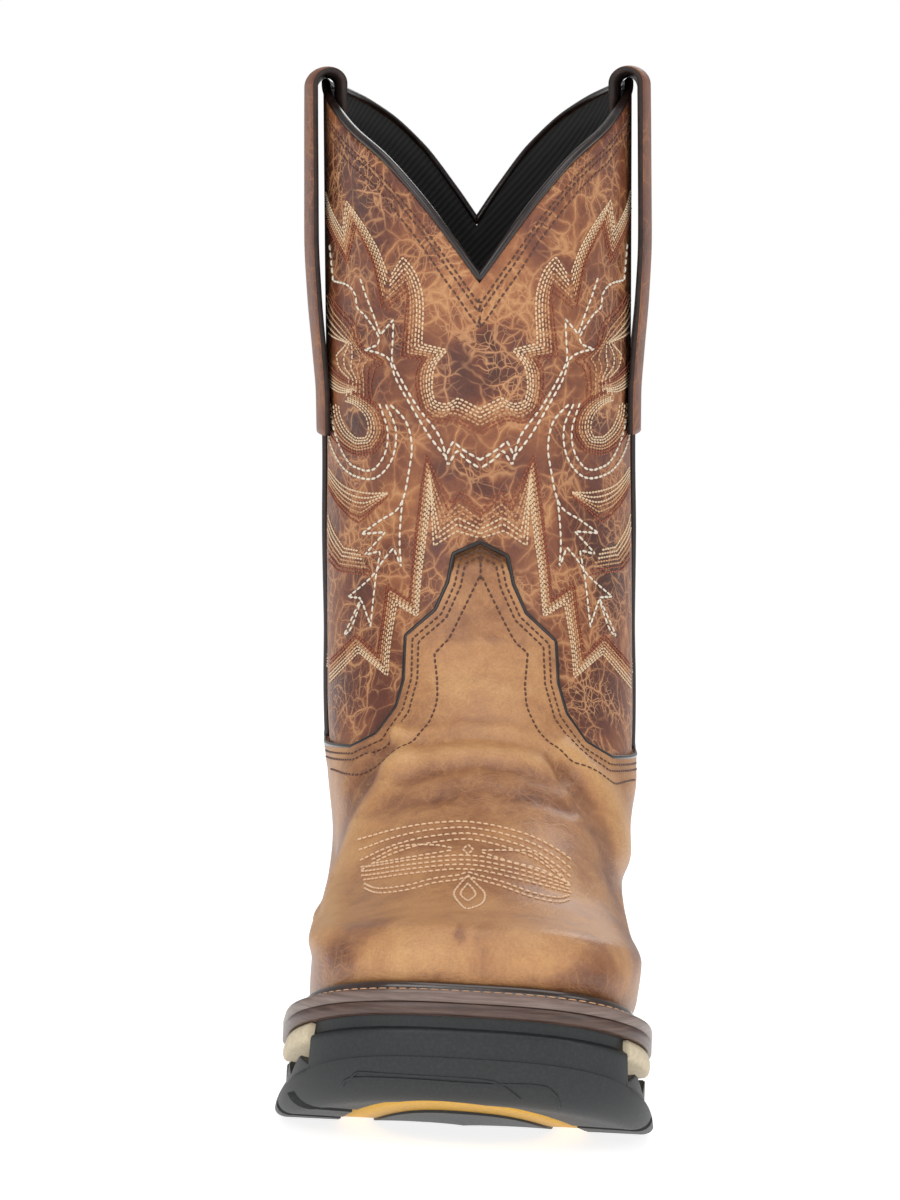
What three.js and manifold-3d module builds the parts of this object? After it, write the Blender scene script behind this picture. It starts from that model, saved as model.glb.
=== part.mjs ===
// A right-foot western work boot with a broad square toe, a scalloped pull-on shaft and a moulded lug sole.
// Units are millimetres, +Z is up, the toe points along -Y and the inner (big-toe) side faces +X.
// The boot stands on its heel and forefoot lugs, and the origin is under the middle of its outline.
import * as THREE from "three";
import Module from "manifold-3d";

const wasm = await Module();
wasm.setup();

// Driving sizes of the sole
const SOLE_LENGTH = 304; // heel to toe along the welt
const BALL_WIDTH = 115; // across the welt at the ball of the foot
const HEEL_WIDTH = 85; // across the welt at the heel
const INNER_WAIST = 9; // how far the arch cuts in on the inner side
const OUTER_WAIST = 4; // the same on the outer side
const SEAT_HEIGHT = 42; // top of the welt at the heel
const BALL_HEIGHT = 26; // top of the welt at the ball
const TOE_HEIGHT = 49.4; // top of the welt at the toe
const TOE_SPRING = 18; // how far the tread lifts at the toe
const ARCH_HEIGHT = 13; // underside of the shank between heel and forefoot
const TOE_SLANT = 0.15; // how far the toe's edge falls back per unit across, from inner to outer side
const WELT = 3.6; // thickness of the welt
const MIDSOLE = 3.6; // thickness of the brown midsole under it
const OUTSOLE_FOREPART = 10; // black rubber from the ground to the cushion at the ball
const OUTSOLE_HEEL = 17; // the same at the heel
const SHANK = 9; // thickness of the rubber over the arch
const LUG_DEPTH = 4.5; // depth of the tread
const RIM = 2.6; // thickness of the outsole's raised side wall
const INSOLE = 4; // thickness of the insole above the welt

// Driving sizes of the upper
const UPPER_HEIGHT = 286.5; // heel seat to the top of the shaft at its side seams
const FOOT_WIDTH = 102; // across the upper at the ball
const SHAFT_WIDTH = 103; // across the shaft at the top
const SHAFT_LEAN = 0.045; // how far the shaft leans to the outer side per unit of height
const ANKLE_SHIFT = 2.2; // how far the ankle stands to the inner side of the sole's middle line
const LEATHER = 1.8; // wall of the upper
const OVERLAY = 1.4; // vamp and counter leather laid over it
const FRONT_DIP = 61.5; // depth of the scallop at the front of the collar
const BACK_DIP = 45; // depth of the scallop at the back
const BINDING = 2.6; // height of the bead that binds the collar
const SEAM_BEAD = 1.3; // height of the bead along each side seam
const STRAP_WIDTH = 36;
const STRAP = 3; // thickness of a pull strap, leather and webbing together
const STRAP_LOOP = 3.7; // how far a strap's loop stands above the collar
const STRAP_SPREAD = 10.5; // distance between the middles of a strap's two legs
const STRAP_STAND = 1; // how far outside the wall the middle of a strap's loop stands
const STRAP_DROP = 108; // collar to the strap's lower end on the outside
const STRAP_TUCK = 46; // collar to the strap's lower end on the inside
const GAP = 0.3; // clearance between neighbouring pieces

const COLUMNS = 48; // divisions round the upper

// Small helpers for curves
const lerp = (a, b, t) => a + (b - a) * t;
const clamp = (t) => Math.min(1, Math.max(0, t));
const smooth = (t) => clamp(t) ** 2 * (3 - 2 * clamp(t));
const bell = (t) => Math.exp(-t * t);

// Reads a column of a table at any place between its rows, as a smooth curve that never overshoots them.
function trace(rows, along, key, at) {
  let i = rows.findIndex((row) => row[along] > at) - 1;
  if (i === -2) i = rows.length - 2;
  i = Math.max(0, i);
  const step = (k) => rows[k + 1][along] - rows[k][along];
  const rise = (k) => (rows[k + 1][key] - rows[k][key]) / step(k);
  const slope = (k) => {
    if (k === 0) return rise(0);
    if (k === rows.length - 1) return rise(k - 1);
    const [a, b] = [rise(k - 1), rise(k)];
    return a * b <= 0 ? 0 : (2 * a * b) / (a + b);
  };
  const t = (at - rows[i][along]) / step(i);
  if (t > 1) return rows[i + 1][key] + slope(i + 1) * (at - rows[i + 1][along]);
  const [p, q] = [rows[i][key], rows[i + 1][key]];
  const [m, n] = [slope(i) * step(i), slope(i + 1) * step(i)];
  return (
    p * (1 + 2 * t) * (1 - t) ** 2 + m * t * (1 - t) ** 2 + q * t * t * (3 - 2 * t) - n * t * t * (1 - t)
  );
}

// Reads a column of a table whose rows are joined by straight lines.
function straight(rows, along, key, at) {
  const i = Math.max(1, rows.findIndex((row) => row[along] >= at));
  const [a, b] = at > rows.at(-1)[along] ? [rows.at(-1), rows.at(-1)] : [rows[i - 1], rows[i]];
  return a === b ? a[key] : lerp(a[key], b[key], clamp((at - a[along]) / (b[along] - a[along])));
}

// Solids from sections: each section is a closed loop of points, and the loops are joined one to the next.
function loft(sections, closed) {
  const count = sections[0].length;
  const index = [];
  const last = closed ? sections.length : sections.length - 1;
  for (let i = 0; i < last; i++) {
    for (let k = 0; k < count; k++) {
      const a = i * count + k;
      const b = i * count + ((k + 1) % count);
      const c = ((i + 1) % sections.length) * count;
      index.push(a, b, c + (k % count), b, c + ((k + 1) % count), c + (k % count));
    }
  }
  if (!closed) {
    const end = (sections.length - 1) * count;
    for (let k = 0; k < count / 2 - 1; k++) {
      const far = count - 1 - k;
      index.push(k, far, k + 1, k + 1, far, far - 1);
      index.push(end + k, end + k + 1, end + far, end + k + 1, end + far - 1, end + far);
    }
  }
  const geometry = new THREE.BufferGeometry();
  geometry.setAttribute("position", new THREE.Float32BufferAttribute(sections.flat(2), 3));
  geometry.setIndex(index);
  if (signedVolume(geometry) < 0) geometry.setIndex(index.reverse());
  return geometry;
}

function signedVolume(geometry) {
  const p = geometry.getAttribute("position");
  const index = geometry.getIndex().array;
  const corner = (i) => new THREE.Vector3().fromBufferAttribute(p, index[i]);
  let sum = 0;
  for (let i = 0; i < index.length; i += 3) sum += corner(i).dot(corner(i + 1).cross(corner(i + 2)));
  return sum;
}

const toSolid = (geometry) =>
  new wasm.Manifold(
    new wasm.Mesh({
      numProp: 3,
      vertProperties: new Float32Array(geometry.getAttribute("position").array),
      triVerts: new Uint32Array(geometry.getIndex().array),
    }),
  );

function toGeometry(solid) {
  const mesh = solid.getMesh();
  const geometry = new THREE.BufferGeometry();
  geometry.setAttribute("position", new THREE.Float32BufferAttribute(mesh.vertProperties, 3));
  geometry.setIndex([...mesh.triVerts]);
  return geometry;
}

// An upright prism over a plan outline, given as [side, fore] points.
function prism(points) {
  const shape = new THREE.Shape(points.map(([side, fore]) => new THREE.Vector2(side, -fore)));
  const geometry = new THREE.ExtrudeGeometry(shape, { depth: 4 * SEAT_HEIGHT, bevelEnabled: false });
  geometry.translate(0, 0, -SEAT_HEIGHT);
  geometry.deleteAttribute("normal");
  geometry.deleteAttribute("uv");
  return toSolid(weld(geometry));
}

// Gives a geometry one vertex for each place, so that its faces share their corners.
function weld(geometry) {
  const p = geometry.getAttribute("position");
  const seen = new Map();
  const points = [];
  const index = [];
  for (let i = 0; i < p.count; i++) {
    const key = [p.getX(i), p.getY(i), p.getZ(i)].map((v) => v.toFixed(4)).join();
    if (!seen.has(key)) {
      seen.set(key, points.length / 3);
      points.push(p.getX(i), p.getY(i), p.getZ(i));
    }
    index.push(seen.get(key));
  }
  const merged = new THREE.BufferGeometry();
  merged.setAttribute("position", new THREE.Float32BufferAttribute(points, 3));
  merged.setIndex(index);
  return merged;
}

// Plan outlines: half of a closed outline's width at a share of its length, 0 at the heel and 1 at the toe.
// Both ends close with a rounded cap: power 2 is an ellipse, and a higher power is squarer.
const cap = (left, reach, power) => (1 - (1 - clamp(left / reach)) ** power) ** (1 / power);
const rounding = (form, share) =>
  cap(share, form.backReach, form.backPower) * cap(1 - share, form.frontReach, form.frontPower);
const BALL_PLACE = { inner: 0.72, outer: 0.62 }; // share of the length where each side is widest
const WAIST_PLACE = 0.42;
const WAIST_SPREAD = 0.17;
const TAPER_PLACE = 0.7; // where the outline starts to narrow towards the toe
const SPREAD_START = 0.18; // where it starts to widen from the heel to the ball

function halfWidth(form, share, side) {
  const spread = smooth((share - SPREAD_START) / (BALL_PLACE[side] - SPREAD_START));
  const full = lerp(form.heel, form[side], spread);
  const waist = form[side + "Waist"] * bell((share - WAIST_PLACE) / WAIST_SPREAD);
  const taper = 1 - form.taper * clamp((share - TAPER_PLACE) / (1 - TAPER_PLACE)) ** 2;
  return (full - waist) * taper * rounding(form, share);
}

// Places a point of the boot: fore is the distance from the back of the sole, side is towards the big toe.
// Towards the toe, points shift forwards on the inner side, so that the toe's edge slants.
const SLANT_START = 0.6;
const slant = (fore) => TOE_SLANT * smooth((fore / SOLE_LENGTH - SLANT_START) / (1 - SLANT_START));
const place = (fore, side, up) => [side, -(fore + slant(fore) * side), up];

// The share of the sole's length at which a placed point lies.
function shareOf(x, y) {
  let fore = -y;
  for (let i = 0; i < 4; i++) fore = -y - slant(fore) * x;
  return fore / SOLE_LENGTH;
}

// Sole

const SOLE_FORM = {
  heel: HEEL_WIDTH / 2,
  inner: BALL_WIDTH / 2,
  outer: BALL_WIDTH / 2,
  innerWaist: INNER_WAIST,
  outerWaist: OUTER_WAIST,
  taper: 0.1,
  backReach: 0.15,
  backPower: 2.3,
  frontReach: 0.16,
  frontPower: 2.9,
};

// Height of the welt's top along the sole, by share of its length: level at the seat, falling over the arch
// to the ball, and rising to the toe.
const SEAT_END = 0.16;
const ARCH_RUN = 0.48;
const TOE_RISE_START = 0.58;
const TOE_RISE_POWER = 1.9;
function soleTop(share) {
  const heel = (SEAT_HEIGHT - BALL_HEIGHT) * (1 - smooth((share - SEAT_END) / ARCH_RUN));
  const rise = clamp((share - TOE_RISE_START) / (1 - TOE_RISE_START)) ** TOE_RISE_POWER;
  return BALL_HEIGHT + heel + (TOE_HEIGHT - BALL_HEIGHT) * rise;
}

// Height of the tread: flat under heel and forefoot, arched between them and lifted at the toe.
const HEEL_BREAST = 0.265; // share of the length where the heel ends
const ARCH_FALL = 0.295; // where the arch starts to come down
const FOREPART_START = 0.43; // where it reaches the ground
const ROCKER_START = 0.74; // where the toe starts to lift
const ROCKER_POWER = 1.7;
function tread(share) {
  if (share <= HEEL_BREAST) return 0;
  if (share < FOREPART_START) {
    return ARCH_HEIGHT * (1 - smooth((share - ARCH_FALL) / (FOREPART_START - ARCH_FALL)));
  }
  return TOE_SPRING * clamp((share - ROCKER_START) / (1 - ROCKER_START)) ** ROCKER_POWER;
}

// Only the toe's lift follows each point's own place: the step at the heel's breast stays square.
const settled = (share, spot) => (share > ROCKER_START ? spot : share);

// Top of the black rubber under the cushion: it rises from the heel onto the shank and falls to the forepart.
const SHANK_RISE = { start: 0.22, run: 0.06 };
const SHANK_FALL = { start: 0.34, run: 0.12 };
function rubberTop(share) {
  const [rise, fall] = [SHANK_RISE, SHANK_FALL].map(({ start, run }) => smooth((share - start) / run));
  const shank = lerp(OUTSOLE_HEEL, ARCH_HEIGHT + SHANK, rise);
  const forepart = lerp(shank, OUTSOLE_FOREPART, fall);
  return forepart + (share > ROCKER_START ? tread(share) : 0);
}

// Stations along the sole for its flat layers, closer where the outline or the tread turns.
const STATIONS = [
  0.0008, 0.006, 0.02, 0.045, 0.08, 0.13, 0.19, HEEL_BREAST, HEEL_BREAST + 0.002, 0.3, 0.34, 0.38,
  FOREPART_START, 0.49, 0.54, 0.58, 0.62, 0.66, 0.7, ROCKER_START, 0.79, 0.84, 0.88, 0.91, 0.94, 0.965,
  0.984, 0.994, 0.9992,
];

// A plate across the sole. Its profile lists [inset, height] from bottom to top at a station, where at(inset)
// gives the share of the sole's length that the inset point lies at.
const THINNEST = 0.2; // least half width of a section at the two ends
function plate(profile, stations = STATIONS) {
  const sections = stations.map((share) => {
    const at = (inset) => 0.5 + (2 * share - 1) * (0.5 - inset / SOLE_LENGTH);
    const edge = (side, sign) =>
      profile(share, at).map(([inset, up]) => {
        const across = Math.max(THINNEST, halfWidth(SOLE_FORM, share, side) - inset);
        return place(at(inset) * SOLE_LENGTH, sign * across, up);
      });
    return [...edge("inner", 1), ...edge("outer", -1).reverse()];
  });
  return loft(sections, false);
}

// Upper

// Rings of the upper's outer surface from the welt to the collar. Level and rises are shares of the upper's
// height, front and back are shares of the sole's length, and widths are shares of the upper's width, which
// goes over from the foot's to the shaft's. Settle tells how far a ring follows the curve of the sole below.
const RING_COLUMNS = [
  "level", "front", "frontRise", "back", "backRise", "settle", "heel", "inner",
  "outer", "innerWaist", "outerWaist", "taper", "backReach", "backPower", "frontReach", "frontPower",
];
const RINGS = [
  [0, 0.974, 0, 0.024, 0, 1, 0.332, 0.459, 0.455, 0.055, 0.024, 0.1, 0.14, 2.2, 0.15, 3.2],
  [0.033, 0.987, 0.0324, 0.012, 0.033, 0.95, 0.365, 0.496, 0.47, 0.042, 0.015, 0.09, 0.14, 2.2, 0.155, 3.1],
  [0.081, 0.974, 0.068, 0.006, 0.077, 0.85, 0.41, 0.504, 0.47, 0.025, 0.008, 0.09, 0.15, 2.2, 0.19, 2.8],
  [0.121, 0.908, 0.0945, 0.007, 0.118, 0.7, 0.435, 0.475, 0.455, 0.01, 0, 0.08, 0.17, 2.2, 0.3, 2.4],
  [0.158, 0.822, 0.1155, 0.013, 0.158, 0.5, 0.458, 0.455, 0.44, 0, 0, 0.04, 0.2, 2.2, 0.44, 2.2],
  [0.2, 0.73, 0.1534, 0.026, 0.2, 0.3, 0.484, 0.465, 0.455, 0, 0, 0, 0.25, 2.2, 0.5, 2.1],
  [0.257, 0.632, 0.195, 0.043, 0.262, 0.12, 0.497, 0.485, 0.485, 0, 0, 0, 0.33, 2.1, 0.52, 2.05],
  [0.331, 0.533, 0.261, 0.054, 0.338, 0, 0.5, 0.495, 0.495, 0, 0, 0, 0.42, 2, 0.52, 2],
  [0.412, 0.474, 0.34, 0.056, 0.422, 0, 0.495, 0.495, 0.495, 0, 0, 0, 0.48, 2, 0.5, 2],
  [0.494, 0.441, 0.4335, 0.051, 0.5, 0, 0.495, 0.495, 0.495, 0, 0, 0, 0.5, 2, 0.5, 2],
  [0.592, 0.428, 0.544, 0.041, 0.592, 0, 0.492, 0.492, 0.492, 0, 0, 0, 0.5, 2, 0.5, 2],
  [0.776, 0.431, 0.758, 0.024, 0.776, 0, 0.497, 0.497, 0.497, 0, 0, 0, 0.5, 2, 0.5, 2],
  [1.04, 0.444, 1.044, 0.012, 1.04, 0, 0.501, 0.501, 0.501, 0, 0, 0, 0.5, 2, 0.5, 2],
].map((row) => Object.fromEntries(RING_COLUMNS.map((key, i) => [key, row[i]])));
const ring = (key, level) => trace(RINGS, "level", key, level);

// How far to the inner side the middle of the shaft stands at a height.
const ANKLE_HEIGHT = 0.2; // share of the upper's height from which the shaft leans
const LEAN_RUN = 0.3; // over this share of the height its level rows take on the lean
const WIDTH_RUN = 0.4; // over this share of the height the foot's width goes over to the shaft's
const SHIFT_START = 0.03; // share of the height from which the upper shifts to the inner side
const SHIFT_RUN = 0.2;
const shaftShift = (up) =>
  ANKLE_SHIFT - SHAFT_LEAN * Math.max(0, up - SEAT_HEIGHT - ANKLE_HEIGHT * UPPER_HEIGHT);

// The upper's outer surface. Level runs from 0 at the welt to 1 at the top of the side seams. Turn runs
// from 0 at the middle of the front, through a quarter on the inner side, to a half turn at the back.
function skin(level, turn) {
  const side = Math.sin(turn) >= 0 ? "inner" : "outer";
  const share = (1 + Math.cos(turn)) / 2;
  const form = Object.fromEntries(Object.keys(RINGS[0]).map((key) => [key, ring(key, level)]));
  const width = lerp(FOOT_WIDTH, SHAFT_WIDTH, smooth((level - ANKLE_HEIGHT) / WIDTH_RUN));
  const fore = lerp(form.back, form.front, share) * SOLE_LENGTH;
  const drop = (soleTop(fore / SOLE_LENGTH) - SEAT_HEIGHT) * form.settle;
  const up = SEAT_HEIGHT + GAP + drop + lerp(form.backRise, form.frontRise, share) * UPPER_HEIGHT;
  const shift = shaftShift(up) * smooth((level - SHIFT_START) / SHIFT_RUN);
  const sign = side === "inner" ? 1 : -1;
  const [x, y, z] = place(fore, sign * halfWidth(form, share, side) * width, up);
  const tilt = SHAFT_LEAN * x * smooth((level - ANKLE_HEIGHT) / LEAN_RUN);
  return new THREE.Vector3(x + shift, y, z + tilt);
}

// The surface moved out along its own normal; a negative distance moves it in. At the welt it moves level.
function offsetSkin(level, turn, distance) {
  const step = 0.004;
  const up = skin(level + step, turn).sub(skin(Math.max(0, level - step), turn));
  const round = skin(level, turn + step).sub(skin(level, turn - step));
  const normal = new THREE.Vector3().crossVectors(round, up);
  if (level === 0) normal.setZ(0);
  const point = skin(level, turn).addScaledVector(normal.normalize(), distance);
  if (level === 0) point.z = soleTop(shareOf(point.x, point.y)) + GAP;
  return point;
}

// The turn at which a ring passes a given distance from the back of the sole.
function turnAt(level, fore) {
  const [back, front] = [ring("back", level) * SOLE_LENGTH, ring("front", level) * SOLE_LENGTH];
  return Math.acos(2 * clamp((fore - back) / (front - back)) - 1);
}

// The collar dips in a deep scallop at front and back, and peaks at the side seams. Away is the share of the
// quarter turn from a side seam to the middle, and front and back are shares of the dips.
const COLLAR_LINE = [
  { away: 0, front: 0, back: 0 },
  { away: 0.25, front: 0.155, back: 0.02 },
  { away: 0.4, front: 0.27, back: 0.065 },
  { away: 0.575, front: 0.405, back: 0.185 },
  { away: 0.75, front: 0.61, back: 0.42 },
  { away: 0.9, front: 0.838, back: 0.745 },
  { away: 1, front: 1, back: 1 },
];
function collar(turn) {
  const [dip, end] = Math.cos(turn) > 0 ? [FRONT_DIP, "front"] : [BACK_DIP, "back"];
  const away = 1 - Math.asin(Math.min(1, Math.abs(Math.sin(turn)))) / (Math.PI / 2);
  return 1 - (dip / UPPER_HEIGHT) * trace(COLLAR_LINE, "away", end, away);
}

// Rows of the upper run level round the foot, and from half way up they bend to follow the collar.
const BEND_START = 0.5;
const levelOf = (row, turn) =>
  row <= BEND_START ? row : lerp(BEND_START, collar(turn), (row - BEND_START) / (1 - BEND_START));

const turns = Array.from({ length: COLUMNS }, (_, i) => (i / COLUMNS) * 2 * Math.PI);
const ROWS = [
  0, 0.022, 0.044, 0.066, 0.09, 0.12, 0.155, 0.19, 0.23, 0.29, 0.36, 0.43, BEND_START, 0.57, 0.7, 0.85, 1,
];
const INNER_ROWS = [0, 0.045, 0.09, 0.14, 0.2, 0.29, 0.4, 0.57, 1];

// One hollow leather shell, open at the collar and underneath.
function upper() {
  const wall = (rows, turn, distance) =>
    rows.map((row) => offsetSkin(levelOf(row, turn), turn, distance).toArray());
  const section = (turn) => [...wall(ROWS, turn, 0), ...wall(INNER_ROWS, turn, -LEATHER).reverse()];
  return loft(turns.map(section), true);
}

// A solid bounded by the upper's own surface moved out by a distance, up to one of its rows.
function form(distance, top, beyond) {
  const rows = ROWS.filter((row) => row <= top);
  const ringAt = (row) => turns.map((turn) => offsetSkin(levelOf(row, turn), turn, distance).toArray());
  const rings = rows.map(ringAt);
  const below = rings[0].map(([x, y, z]) => [x, y, z - beyond]);
  const above = rings.at(-1).map(([x, y, z]) => [x, y, z + beyond]);
  return toSolid(loft(beyond ? [below, ...rings, above] : rings, false));
}

// A leather layer over the upper, cut to an outline: the space between two such solids, inside a cutter.
const LAYER_TOP = 0.57;
const LAYER_BEYOND = 10;
function layer(cutter) {
  const shell = form(GAP + OVERLAY, LAYER_TOP, 0).subtract(form(GAP, LAYER_TOP, LAYER_BEYOND));
  return toGeometry(shell.intersect(cutter));
}

const SEAM_FORE = 0.235 * SOLE_LENGTH; // where the side seams stand

// The vamp's upper edge seen from the front: a peaked tongue, its shoulders and the sweep down to the side
// seam. Across is a share of the shaft's width and height a share of the upper's.
const VAMP_EDGE = [
  { across: 0, height: 0.476 },
  { across: 0.083, height: 0.461 },
  { across: 0.1, height: 0.429 },
  { across: 0.139, height: 0.3965 },
  { across: 0.231, height: 0.3655 },
  { across: 0.235, height: 0.319 },
  { across: 0.26, height: 0.286 },
  { across: 0.32, height: 0.255 },
  { across: 0.4, height: 0.238 },
  { across: 0.48, height: 0.236 },
  { across: 0.65, height: 0.236 },
];
function vampCutter() {
  const corners = VAMP_EDGE.map(({ across, height }) => [
    across * SHAFT_WIDTH,
    SEAT_HEIGHT + height * UPPER_HEIGHT,
  ]);
  const half = [...corners, [corners.at(-1)[0], -SEAT_HEIGHT]];
  const mirrored = half.slice(1).reverse().map(([x, z]) => [-x, z]);
  const outline = [...half, ...mirrored].map(([x, z]) => new THREE.Vector2(x + shaftShift(z), z));
  const shape = new THREE.Shape(outline);
  const geometry = new THREE.ExtrudeGeometry(shape, { depth: 1.5 * SOLE_LENGTH, bevelEnabled: false });
  geometry.rotateX(Math.PI / 2); // the outline stands upright and its depth runs forwards from the seams
  geometry.translate(0, -SEAM_FORE - GAP / 2, 0);
  return toSolid(weld(geometry));
}

// The counter's upper edge seen from the side. Fore is a share of the distance from the back to the seam.
const COUNTER_EDGE = [
  { fore: -0.4, height: 0.31 },
  { fore: 0.1, height: 0.31 },
  { fore: 0.5, height: 0.28 },
  { fore: 1, height: 0.236 },
];
function counterCutter() {
  const corners = COUNTER_EDGE.map(({ fore, height }) => [
    fore * SEAM_FORE - (fore === 1 ? GAP / 2 : 0),
    SEAT_HEIGHT + height * UPPER_HEIGHT,
  ]);
  const outline = [...corners, [corners.at(-1)[0], -SEAT_HEIGHT], [corners[0][0], -SEAT_HEIGHT]];
  const shape = new THREE.Shape(outline.map(([fore, z]) => new THREE.Vector2(-fore, z)));
  const geometry = new THREE.ExtrudeGeometry(shape, { depth: 2 * SHAFT_WIDTH, bevelEnabled: false });
  geometry.rotateX(Math.PI / 2);
  geometry.rotateZ(Math.PI / 2); // the outline stands upright along the boot and its depth runs across it
  geometry.translate(-SHAFT_WIDTH, 0, 0);
  return toSolid(weld(geometry));
}

// A bead that binds the collar's raw edge.
const BINDING_SPREAD = 1.2; // how much wider than the wall the bead is
const BINDING_SECTION = [
  { out: -0.9, up: 0 },
  { out: -0.9, up: 0.65 },
  { out: 0, up: 1 },
  { out: 0.9, up: 0.65 },
  { out: 0.9, up: 0 },
]; // out is a share of half the bead's width, and up a share of its height
function binding() {
  const half = (LEATHER + BINDING_SPREAD) / 2;
  return loft(
    turns.map((turn) =>
      BINDING_SECTION.map(({ out, up }) => {
        const level = collar(turn) + (GAP + up * BINDING) / UPPER_HEIGHT;
        return offsetSkin(level, turn, -LEATHER / 2 + out * half).toArray();
      }),
    ),
    true,
  );
}

// The level at which the side seam reaches a height.
function levelAtSeam(height) {
  let [low, high] = [0, 1];
  while (high - low > 1e-4) {
    const level = (low + high) / 2;
    if (skin(level, turnAt(level, SEAM_FORE)).z < height) low = level;
    else high = level;
  }
  return high;
}

// A bead along a side seam, from the vamp's edge up to the pull strap, clear of the vamp on both sides.
const SEAM_BEAD_WIDTH = 2.6;
const SEAM_BEAD_TOP = 0.6; // share of its width that is flat on top
const SEAM_STEPS = 14;
function seamBead(sign) {
  const top = 1 - (STRAP_DROP + SEAM_BEAD) / UPPER_HEIGHT;
  const vampTop = SEAT_HEIGHT + VAMP_EDGE.at(-1).height * UPPER_HEIGHT;
  const bottom = levelAtSeam(vampTop + SHAFT_WIDTH * SHAFT_LEAN);
  const radius = SHAFT_WIDTH / 2;
  const levels = Array.from({ length: SEAM_STEPS + 1 }, (_, i) => lerp(bottom, top, i / SEAM_STEPS));
  return loft(
    levels.map((level) => {
      const turn = sign * turnAt(level, SEAM_FORE);
      const corner = (across, out) =>
        offsetSkin(level, turn + (across * SEAM_BEAD_WIDTH) / 2 / radius, GAP + out * SEAM_BEAD).toArray();
      return [corner(-1, 0), corner(-SEAM_BEAD_TOP, 1), corner(SEAM_BEAD_TOP, 1), corner(1, 0)];
    }),
    false,
  );
}

// A pull strap: up the inside of the shaft, over the collar in a loop and down the outside. Each row gives
// how far down its leg a point lies, as a share of that leg, and how far it stands off towards the open loop.
const OUTER_LEG = [
  { down: 1, stand: 0 },
  { down: 0.9, stand: 0.02 },
  { down: 0.78, stand: 0.3 },
  { down: 0.62, stand: 0.75 },
  { down: 0.45, stand: 1 },
  { down: 0.28, stand: 0.95 },
  { down: 0.12, stand: 0.9 },
  { down: 0, stand: 0.85 },
];
const INNER_LEG = [
  { down: 0, stand: 1 },
  { down: 0.35, stand: 0.7 },
  { down: 0.7, stand: 0.25 },
  { down: 1, stand: 0 },
];
const LOOP_STEPS = 7;
const STRAP_COLUMNS = [-1, -0.35, 0.35, 1]; // across the strap, as shares of half its width
function strap(sign) {
  const half = STRAP / 2;
  const seatOut = half + 2 * GAP;
  const seatIn = -LEATHER - half - 2 * GAP;
  const [loopOut, loopIn] = [0.5, -0.5].map((share) => share * STRAP_SPREAD + STRAP_STAND - LEATHER / 2);
  const line = []; // [out from the skin, level] along the strap's middle
  for (const { down, stand } of OUTER_LEG)
    line.push([lerp(seatOut, loopOut, stand), 1 - (down * STRAP_DROP) / UPPER_HEIGHT]);
  const topOut = line.at(-1)[0];
  const rise = BINDING + STRAP_LOOP - half;
  for (let i = 1; i < LOOP_STEPS; i++) {
    const angle = (i / LOOP_STEPS) * Math.PI;
    const out = lerp(topOut, loopIn, (1 - Math.cos(angle)) / 2);
    line.push([out, 1 + (rise * Math.sin(angle)) / UPPER_HEIGHT]);
  }
  for (const { down, stand } of INNER_LEG)
    line.push([lerp(seatIn, loopIn, stand), 1 - (down * STRAP_TUCK) / UPPER_HEIGHT]);
  const grid = line.map(([out, level]) =>
    STRAP_COLUMNS.map((share) => {
      const base = Math.min(level, 1);
      const point = offsetSkin(base, sign * turnAt(base, SEAM_FORE + (share * STRAP_WIDTH) / 2), out);
      point.z += (level - base) * UPPER_HEIGHT;
      return point;
    }),
  );
  const sections = grid.map((row, i) => {
    const after = grid[Math.min(i + 1, grid.length - 1)];
    const before = grid[Math.max(i - 1, 0)];
    const wide = row.at(-1).clone().sub(row[0]);
    const face = (distance) =>
      row.map((point, k) => {
        const normal = new THREE.Vector3().crossVectors(after[k].clone().sub(before[k]), wide).normalize();
        return point.clone().addScaledVector(normal, distance).toArray();
      });
    return [...face(half), ...face(-half).reverse()];
  });
  return loft(sections, false);
}

// Welt: a flat strip round the upper, with a raised bead beside the leather.
const BEAD_WIDTH = 2.6;
const BEAD_HEIGHT = 1.9;
const BEAD_CREST = 0.65; // share of the bead's width at which it is highest
const BEAD_SHOULDER = 0.85; // share of its height that it keeps beside the leather
const WELT_TUCK = 4; // how far the welt runs in under the upper
const WELT_CHAMFER = 0.7;
const SWELL = 1; // how far the leather swells out over the welt within the bead's height

// A loop round the upper's foot line, grown by a margin, at a height above the welt's top.
function footLine(turn, margin, up) {
  const line = RINGS[0];
  const side = Math.sin(turn) >= 0 ? "inner" : "outer";
  const share = (1 + Math.cos(turn)) / 2;
  const fore = lerp(line.back * SOLE_LENGTH - margin, line.front * SOLE_LENGTH + margin, share);
  const across = halfWidth(line, share, side) * FOOT_WIDTH + margin * rounding(line, share);
  return place(fore, side === "inner" ? across : -across, soleTop(fore / SOLE_LENGTH) + up);
}

function welt() {
  const wall = GAP + OVERLAY + GAP;
  return loft(
    turns.map((turn) => {
      const side = Math.sin(turn) >= 0 ? "inner" : "outer";
      const share = (1 + Math.cos(turn)) / 2;
      const edge = (inset, down) => {
        const spot = 0.5 + (2 * share - 1) * (0.5 - inset / SOLE_LENGTH);
        const across = halfWidth(SOLE_FORM, share, side) * (1 - inset / SOLE_FORM.inner);
        return place(spot * SOLE_LENGTH, side === "inner" ? across : -across, soleTop(spot) - down);
      };
      return [
        edge(0, WELT),
        edge(0, WELT_CHAMFER),
        edge(WELT_CHAMFER, 0),
        footLine(turn, wall + SWELL + BEAD_WIDTH, 0),
        footLine(turn, wall + SWELL + BEAD_CREST * BEAD_WIDTH, BEAD_HEIGHT),
        footLine(turn, wall + SWELL, BEAD_SHOULDER * BEAD_HEIGHT),
        footLine(turn, wall, 0),
        footLine(turn, -WELT_TUCK, 0),
        footLine(turn, -WELT_TUCK, -WELT),
      ];
    }),
    true,
  );
}

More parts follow.
